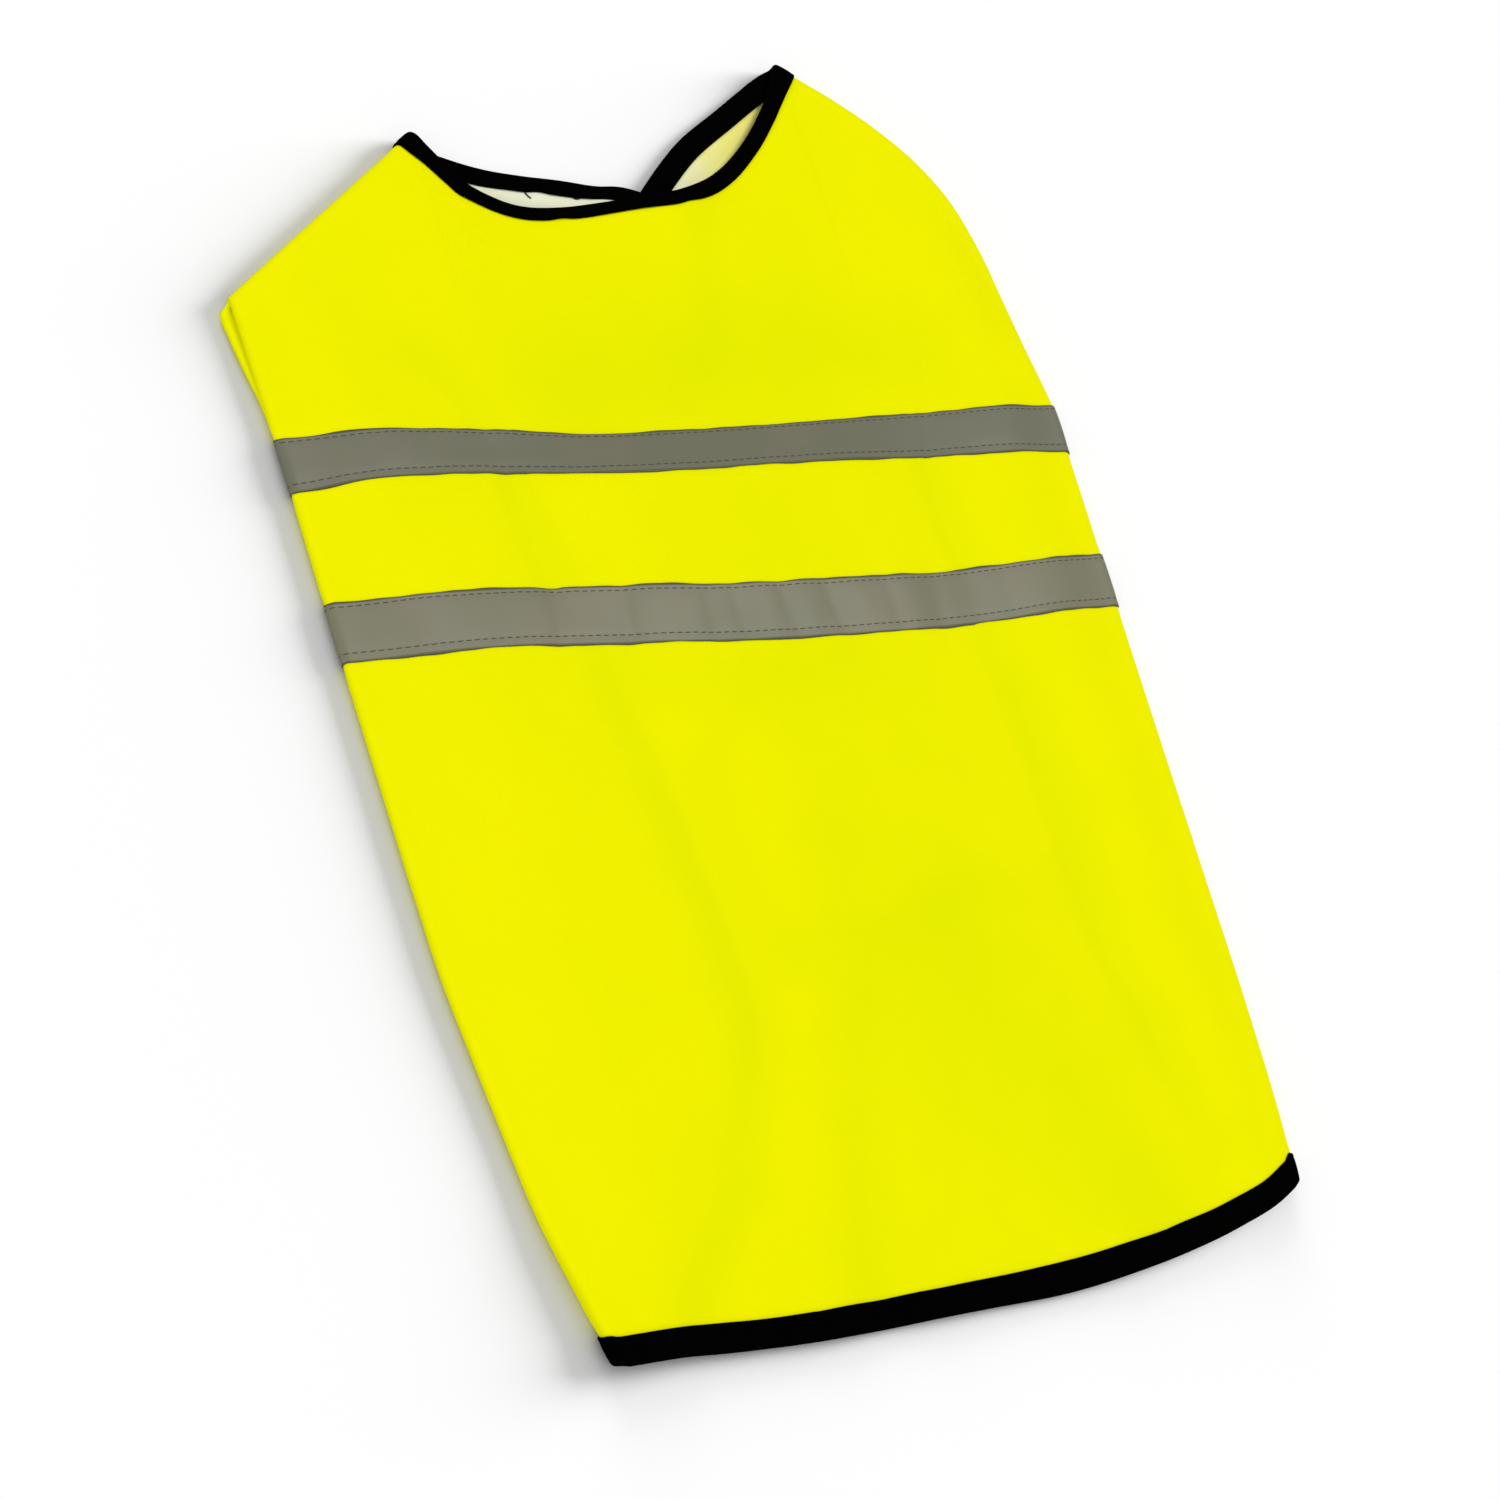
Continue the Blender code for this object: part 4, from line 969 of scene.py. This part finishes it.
# Spacings in metres: threads of the cloths across and along, beads of a tape, loops and hooks
KNIT, BIAS_WEAVE, BEADS, TWIST = (0.00055, 0.0008), (0.0006, 0.0006), (0.0007, 0.0007), (0.00025, 0.0004)
BIAS_TURN, TWIST_TURN = np.radians(45), np.radians(30)
LOOP_GRAIN, HOOK_GRAIN = 0.0012, 0.0016
# Noises: scale and detail
CLOTH_PATCHES, CLOUDS, SLUBS, LINT = (22, 2), (60, 2), (420, 3), (700, 4)
TAPE_PATCHES, TAPE_GRAIN, THREAD_SHADE, FLOOR_SHADE = (26, 3), (2600, 2), (900, 2), (3, 2)
NAP_DETAIL = 4
# Values of a noise between which it shows, and how much it shows
CLOTH_RAMP, LINT_RAMP, TAPE_RAMP, GRAIN_RAMP = (0.35, 0.65), (0.55, 0.8), (0.42, 0.62), (0.3, 0.7)
PATCH_SHARE, CLOUD_SHARE, SLUB_SHARE, GRAIN_SHARE = 0.2, 0.03, 0.8, 0.10
# Finishes: roughness, specular level, then strength of the bump and its depth in metres
FINISHES = {
    "hi_vis_cloth": (0.88, 0.02, 0.35, 0.00008),
    "cloth_wrong_side": (0.9, 0.1, 0.4, 0.00008),
    "binding_cloth": (0.9, 0.006, 0.5, 0.0001),
    "tape_rear_cloth": (0.46, 0.28, 0.18, 0.00005),
    "tape_front_cloth": (0.46, 0.28, 0.18, 0.00005),
    "grey_thread": (0.6, 0.3, 0.4, 0.00004),
    "black_thread": (0.6, 0.25, 0.4, 0.00004),
    "yellow_thread": (0.6, 0.1, 0.4, 0.00004),
    "loop_side": (0.95, 0.15, 0.8, 0.0003),
    "hook_side": (0.6, 0.15, 0.8, 0.0003),
    "floor_white": (0.9, 0.0),
}


def node(tree, kind, inputs=(), **settings):
    """A new node, with each input by its number or name: a value, or a socket to link."""
    made = tree.nodes.new(kind)
    for name, value in settings.items():
        setattr(made, name, value)
    for key, value in dict(inputs).items():
        if isinstance(value, bpy.types.NodeSocket):
            tree.links.new(value, made.inputs[key])
        else:
            made.inputs[key].default_value = value
    return made


def maths(tree, operation, a, b=0.0):
    return node(tree, "ShaderNodeMath", {0: a, 1: b}, operation=operation).outputs[0]


def noise(tree, place, scale, detail):
    inputs = {"Vector": place, "Scale": scale, "Detail": detail}
    return node(tree, "ShaderNodeTexNoise", inputs).outputs["Fac"]


def mixed(tree, share, *colours):
    """A mix of two colours, each given by its parts or as a socket."""
    ends = [colour if isinstance(colour, bpy.types.NodeSocket) else (*colour, 1) for colour in colours]
    return node(tree, "ShaderNodeMix", {0: share, 6: ends[0], 7: ends[1]}, data_type="RGBA").outputs[2]


def scaled_colour(colour, gain):
    return tuple(gain * part for part in colour)


def ramped(tree, value, low, high, to_low=0.0, to_high=1.0):
    inputs = {0: value, 1: low, 2: high, 3: to_low, 4: to_high}
    return node(tree, "ShaderNodeMapRange", inputs, interpolation_type="SMOOTHSTEP").outputs[0]


def cut_place(tree):
    return node(tree, "ShaderNodeUVMap", uv_map="cut").outputs["UV"]


def object_place(tree):
    return node(tree, "ShaderNodeTexCoord").outputs["Object"]


# Share of painted shade kept on the mesh: greener yellow in the cloth's troughs, darker grey at the tapes'
# edges
def painted_shade_in(tree):
    return node(tree, "ShaderNodeAttribute", attribute_name="painted_shade", attribute_type="GEOMETRY").outputs["Fac"]


def weave(tree, place, across, along, turn=0.0):
    """Height of a weave of threads at spacings in metres across and along, turned by an angle."""
    turned = node(tree, "ShaderNodeVectorRotate", {"Vector": place, "Angle": turn}, rotation_type="Z_AXIS")
    inputs = {0: turned.outputs[0], 1: (2 * np.pi / across, 2 * np.pi / along, 0)}
    scaled = node(tree, "ShaderNodeVectorMath", inputs, operation="MULTIPLY")
    split = node(tree, "ShaderNodeSeparateXYZ", {0: scaled.outputs[0]})
    threads = [maths(tree, "SINE", split.outputs[k]) for k in (0, 1)]
    return maths(tree, "MULTIPLY", *threads)


def new_material(name):
    """A material and its node tree, with gloss set on the shader itself."""
    made = bpy.data.materials.new(name)
    made.use_nodes = True
    shader = made.node_tree.nodes["Principled BSDF"]
    for socket, value in zip(("Roughness", "Specular IOR Level"), FINISHES[name]):
        shader.inputs[socket].default_value = value
    return made, made.node_tree


def finished(made, colour, height=None):
    """The material with its colour and its bump linked."""
    tree = made.node_tree
    shader = tree.nodes["Principled BSDF"]
    tree.links.new(colour, shader.inputs["Base Color"])
    if height is not None:
        strength, depth = FINISHES[made.name][2:]
        bump = node(tree, "ShaderNodeBump", {"Strength": strength, "Distance": depth, "Height": height})
        tree.links.new(bump.outputs[0], shader.inputs["Normal"])
    return made


def woven(tree, place, spacing, turn=0.0):
    """A weave with slubs: threads of uneven height."""
    threads = weave(tree, place, *spacing, turn)
    return maths(tree, "ADD", threads, maths(tree, "MULTIPLY", noise(tree, place, *SLUBS), SLUB_SHARE))


def yellow_cloth():
    """Fluorescent polyester: a greener yellow painted in the troughs and hollows as painted shade, random
    greener patches, and a fine knit.
    """
    made, tree = new_material("hi_vis_cloth")
    tree.nodes["Principled BSDF"].inputs["Specular Tint"].default_value = SHEEN_TINT
    spots = ramped(tree, noise(tree, object_place(tree), *CLOTH_PATCHES), *CLOTH_RAMP)
    share = maths(tree, "ADD", painted_shade_in(tree), maths(tree, "MULTIPLY", spots, PATCH_SHARE))
    return finished(made, mixed(tree, share, WARM_YELLOW, PATCH_AND_SHADE_YELLOW), woven(tree, cut_place(tree), KNIT))


def inner_cloth():
    """The wrong side of the cloth: pale where it lies open, painted yellower deep in the neck as painted
    reflection of light bounced off the yellow cloth.
    """
    made, tree = new_material("cloth_wrong_side")
    x = node(tree, "ShaderNodeSeparateXYZ", {0: object_place(tree)}).outputs[0]
    clouds = maths(tree, "MULTIPLY", noise(tree, object_place(tree), *CLOUDS), CLOUD_SHARE)
    share = ramped(tree, maths(tree, "ADD", x, clouds), *INSIDE_TURN)
    return finished(made, mixed(tree, share, PALE_INSIDE, BOUNCED_YELLOW_INSIDE), woven(tree, cut_place(tree), KNIT))


def binding_cloth():
    """Black bias tape, woven on the slant."""
    made, tree = new_material("binding_cloth")
    place = cut_place(tree)
    lint = ramped(tree, noise(tree, place, *LINT), *LINT_RAMP)
    colour = mixed(tree, lint, BLACK_BINDING, scaled_colour(BLACK_BINDING, LINT_GAIN))
    return finished(made, colour, woven(tree, place, BIAS_WEAVE, BIAS_TURN))


def tape_cloth(name, grey):
    """Retroreflective tape: fine glass beads on a warm grey ground with greener patches, darker grains at
    random, and painted shade along its edges.
    """
    made, tree = new_material(name)
    place = cut_place(tree)
    patches = ramped(tree, noise(tree, object_place(tree), *TAPE_PATCHES), *TAPE_RAMP)
    ground = mixed(tree, patches, grey, tuple(part * gain for part, gain in zip(grey, WARM_GREY)))
    grain = noise(tree, place, *TAPE_GRAIN)
    # Random darker grains, and painted shade where the mesh carries it at the tape's edges
    grain_and_edge_shade = maths(tree, "MAXIMUM", ramped(tree, grain, *GRAIN_RAMP, 0.0, GRAIN_SHARE), painted_shade_in(tree))
    beads = maths(tree, "ADD", grain, weave(tree, place, *BEADS))
    return finished(made, mixed(tree, grain_and_edge_shade, ground, GRAIN_AND_EDGE_SHADE), beads)


def thread_finish(name, colour):
    """Twisted thread: fine slanting ridges and a slightly uneven colour."""
    made, tree = new_material(name)
    place = object_place(tree)
    shade = mixed(tree, noise(tree, place, *THREAD_SHADE), colour, scaled_colour(colour, THREAD_GAIN))
    return finished(made, shade, weave(tree, place, *TWIST, TWIST_TURN))


def fastener_finish(name, grain):
    """The hook or the loop side of a fastening patch: a nap of fibres so many metres apart."""
    made, tree = new_material(name)
    place = object_place(tree)
    nap = maths(tree, "ADD", weave(tree, place, grain, grain), noise(tree, place, 1 / grain, NAP_DETAIL))
    return finished(made, mixed(tree, ramped(tree, nap, *NAP_RAMP), NAP_DARK, NAP_LIGHT), nap)


def floor_finish():
    made, tree = new_material("floor_white")
    return finished(made, mixed(tree, noise(tree, object_place(tree), *FLOOR_SHADE), FLOOR_DARK, FLOOR_LIGHT))


def painted_shade_of(grid):
    """Share of painted shade, the greener yellow along the troughs, at each point of the body."""
    on_back = np.array([kind == "back" for kind in KINDS])
    return np.clip(crease_height(PAINTED_SHADE_LINES, grid[..., 0], grid[..., 1], PAINTED_SHADE_FADE), 0, 1) * on_back


# Cloth, bindings and tapes
row_places = body_rows()
body = body_surface(row_places)
straps = {side: strap_surface(side) for side in SIDES}
neck_grid = binding_surface(neck_strip(body, straps), SEEDS["neck"])
key_places = np.interp([0, 1, 2, 3], row_places, np.arange(len(row_places)))
hem_strip = strip_of(body, (key_places, [0, BINDING_WIDTH / 2, BOUND, BOUND + RAMP]))
hem_grid = binding_surface(swelled(hem_strip, HEM_SWELLS), SEEDS["hem"])
tape_start = len(finer([1, REAR_TAPE_END], UNDER_STEP, LEFT_END - BACK_X[0])) - 1
front_stop = KINDS.index("belly_right") + 1
rear_grid = tape_surface("rear", tape_start, None)
front_grid = tape_surface("front", KINDS.index("fold_left") - 1, front_stop)

yellow, inside, black = yellow_cloth(), inner_cloth(), binding_cloth()
cloth_body = make_sheet("cloth_body", body, CLOTH, yellow, inside, painted_shade=painted_shade_of(body))
chest_left = make_sheet("chest_strap_left", straps["left"], CLOTH, yellow, inside)
chest_right = make_sheet("chest_strap_right", straps["right"], CLOTH, yellow, inside)
neck_edge = make_sheet("neck_edge_binding", neck_grid, BINDING_WALL, black)
hem_edge = make_sheet("hem_edge_binding", hem_grid, BINDING_WALL, black)
bands = []
for name, grid, grey in (("rear", rear_grid, REAR_GREY_LIT), ("front", front_grid, FRONT_GREY_SHADED)):
    # Painted shade on the edge rows of each tape
    edges = np.zeros(grid.shape[:2])
    edges[TAPE_EDGES] = EDGE_SHADE_SHARE
    finish = tape_cloth(f"tape_{name}_cloth", grey)
    bands.append(make_sheet(f"reflective_band_{name}", grid, TAPE_WALL, finish, painted_shade=edges))
band_rear, band_front = bands

# Stitches: along the tapes, the bindings, the turned hems and round the fastening patches
tape_top = TAPE_WALL / 2
tape_rows = [row_on(grid, row, tape_top) for grid in (rear_grid, front_grid) for row in TAPE_SEAMS]
grey_thread = thread_finish("grey_thread", GREY_THREAD)
tape_seams = stitch_rows("tape_stitches", tape_rows, grey_thread, SEEDS["on tapes"])
binding_rows = []
for grid in (neck_grid, hem_grid):
    last = len(BINDING_SECTION) - 1
    for row in (last - BINDING_SEAM, len(grid) - 1 - last + BINDING_SEAM):
        binding_rows.append(row_on(grid, row, BINDING_WALL / 2))
black_thread = thread_finish("black_thread", BLACK_THREAD)
binding_seams = stitch_rows("binding_stitches", binding_rows, black_thread, SEEDS["on bindings"])
plain = CLOTH / 2
turned_rows = [row_on(straps[side], TURNED_ROW, plain) for side in SIDES]
path, normal = row_on(body, int(np.searchsorted(row_places, row_places[-1] - TURNED_KEY)), plain)
for first, stop in ((0, KINDS.index("fold_left")), (KINDS.index("belly_right"), None)):
    turned_rows.append((path[first:stop], normal[first:stop]))
patch_rows = [
    patch_outline(CHEST_PATCH, lambda x, y: strap_level("right", x, y) - plain, -1),
    patch_outline(CHEST_PATCH, lambda x, y: strap_level("left", x, y) + plain, 1),
    patch_outline(BELLY_PATCH, lambda x, y: belly_level(x, y) - plain, -1),
    patch_outline(BELLY_PATCH, lambda x, y: belly_level(x, y, is_left=True) + plain, 1),
]
yellow_thread = thread_finish("yellow_thread", YELLOW_THREAD)
cloth_seams = stitch_rows("cloth_stitches", turned_rows + patch_rows, yellow_thread, SEEDS["on cloth"])


def on_left_strap(x, y):
    return strap_height("left", x, y) + plain


ends = [thread_tube(points, on_left_strap, THREAD_END_RADIUS) for points in THREAD_ENDS]
loose_ends = make_tubes("loose_thread_ends", ends, black_thread)
fold_end = make_tubes("seam_thread_end", [thread_tube(FOLD_THREAD, back_height, plain)], yellow_thread)

# Sheets: slot, node it stands for, how it lies, on what, what is sewn to it, width and length of its cut in
# metres, its flat area in square metres
SHEETS = (
    (cloth_body, "cloth", "body", "folded", "floor", [cloth_seams, fold_end], (0.72, 0.54), 0.268),
    (chest_left, "cloth", "chest_left", "laid", chest_right, [loose_ends], (0.22, 0.11), 0.0142),
    (chest_right, "cloth", "chest_right", "laid", "floor", [], (0.24, 0.11), 0.016),
    (neck_edge, "binding", "neck_binding", "folded", cloth_body, [binding_seams], (0.0215, 0.52), 0.00995),
    (hem_edge, "binding", "hem_binding", "folded", cloth_body, [], (0.0218, 0.82), 0.01765),
    (band_rear, "tape", "tape_rear", "folded", cloth_body, [tape_seams], (0.025, 0.70), 0.0174),
    (band_front, "tape", "tape_front", "folded", cloth_body, [], (0.0215, 0.385), 0.00825),
)
THREADS = (
    (tape_seams, "tape"), (binding_seams, "binding"), (cloth_seams, "cloth"), (loose_ends, "binding"),
    (fold_end, "cloth"),
)
for piece, slot, *rest in SHEETS + THREADS:
    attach(piece, "root")
    if rest:
        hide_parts(rest[0])

for name, grain in (("loop", LOOP_GRAIN), ("hook", HOOK_GRAIN)):
    finish = fastener_finish(f"{name}_side", grain)
    for place in ("chest", "belly"):
        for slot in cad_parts[f"{place}_{name}"].material_slots:
            slot.material = finish

for piece, _, _, held, under, sewn_on, flat, area in SHEETS:
    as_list(sewn_on)

# Floor, light and camera
FLOOR = 6.0  # from its middle to each side
FLOOR_CORNERS = ((-1, -1), (1, -1), (1, 1), (-1, 1))
WORLD_LIGHT = 0.54
# Lights: strength, angle that each spans, where from, and whether it is for the floor or for the jacket
LIGHTS = {
    "floor_key": (5.6, 30, (0.92, 0.12, 0.25), True),
    "floor_back": (1.3, 30, (0.10, 0.96, 0.24), True),
    "jacket_key": (1.84, 25, (0.36, 0.12, 0.92), False),
    "jacket_fill": (1.15, 30, (-0.87, -0.35, 0.32), False),
}
CAMERA_PLACE = (-0.5793, -0.3934, 0.9525)
CAMERA_AXES = (  # right, up, back
    (0.8672, -0.2799, 0.4119), (0.1046, 0.9109, 0.3992), (-0.487, -0.3031, 0.8192),
)
LENS, SENSOR = 72, 36

floor_mesh = bpy.data.meshes.new("floor")
floor_mesh.from_pydata([(x * FLOOR, y * FLOOR, 0) for x, y in FLOOR_CORNERS], [], [range(len(FLOOR_CORNERS))])
floor_mesh.materials.append(floor_finish())
floor = shown("floor", floor_mesh)

world = bpy.data.worlds.new("studio")
world.use_nodes = True
world.node_tree.nodes["Background"].inputs["Color"].default_value = (1, 1, 1, 1)
world.node_tree.nodes["Background"].inputs["Strength"].default_value = WORLD_LIGHT
bpy.context.scene.world = world

for name, (energy, angle, place, for_floor) in LIGHTS.items():
    light_data = bpy.data.lights.new(name, "SUN")
    light_data.energy = energy
    light_data.angle = np.radians(angle)
    light = shown(name, light_data)
    light.rotation_mode = "QUATERNION"
    light.rotation_quaternion = (-Vector(place)).to_track_quat("-Z", "Y")
    lit = bpy.data.collections.new(f"{name}_lit")
    lit.objects.link(floor)
    lit.collection_objects[0].light_linking.link_state = "INCLUDE" if for_floor else "EXCLUDE"
    light.light_linking.receiver_collection = lit

camera_data = bpy.data.cameras.new("camera")
camera_data.lens = LENS
camera_data.sensor_width = SENSOR
camera = shown("camera", camera_data)
camera.matrix_world = Matrix.Translation(CAMERA_PLACE) @ Matrix(CAMERA_AXES).transposed().to_4x4()
bpy.context.scene.camera = camera
bpy.context.scene.view_settings.view_transform = "Standard"
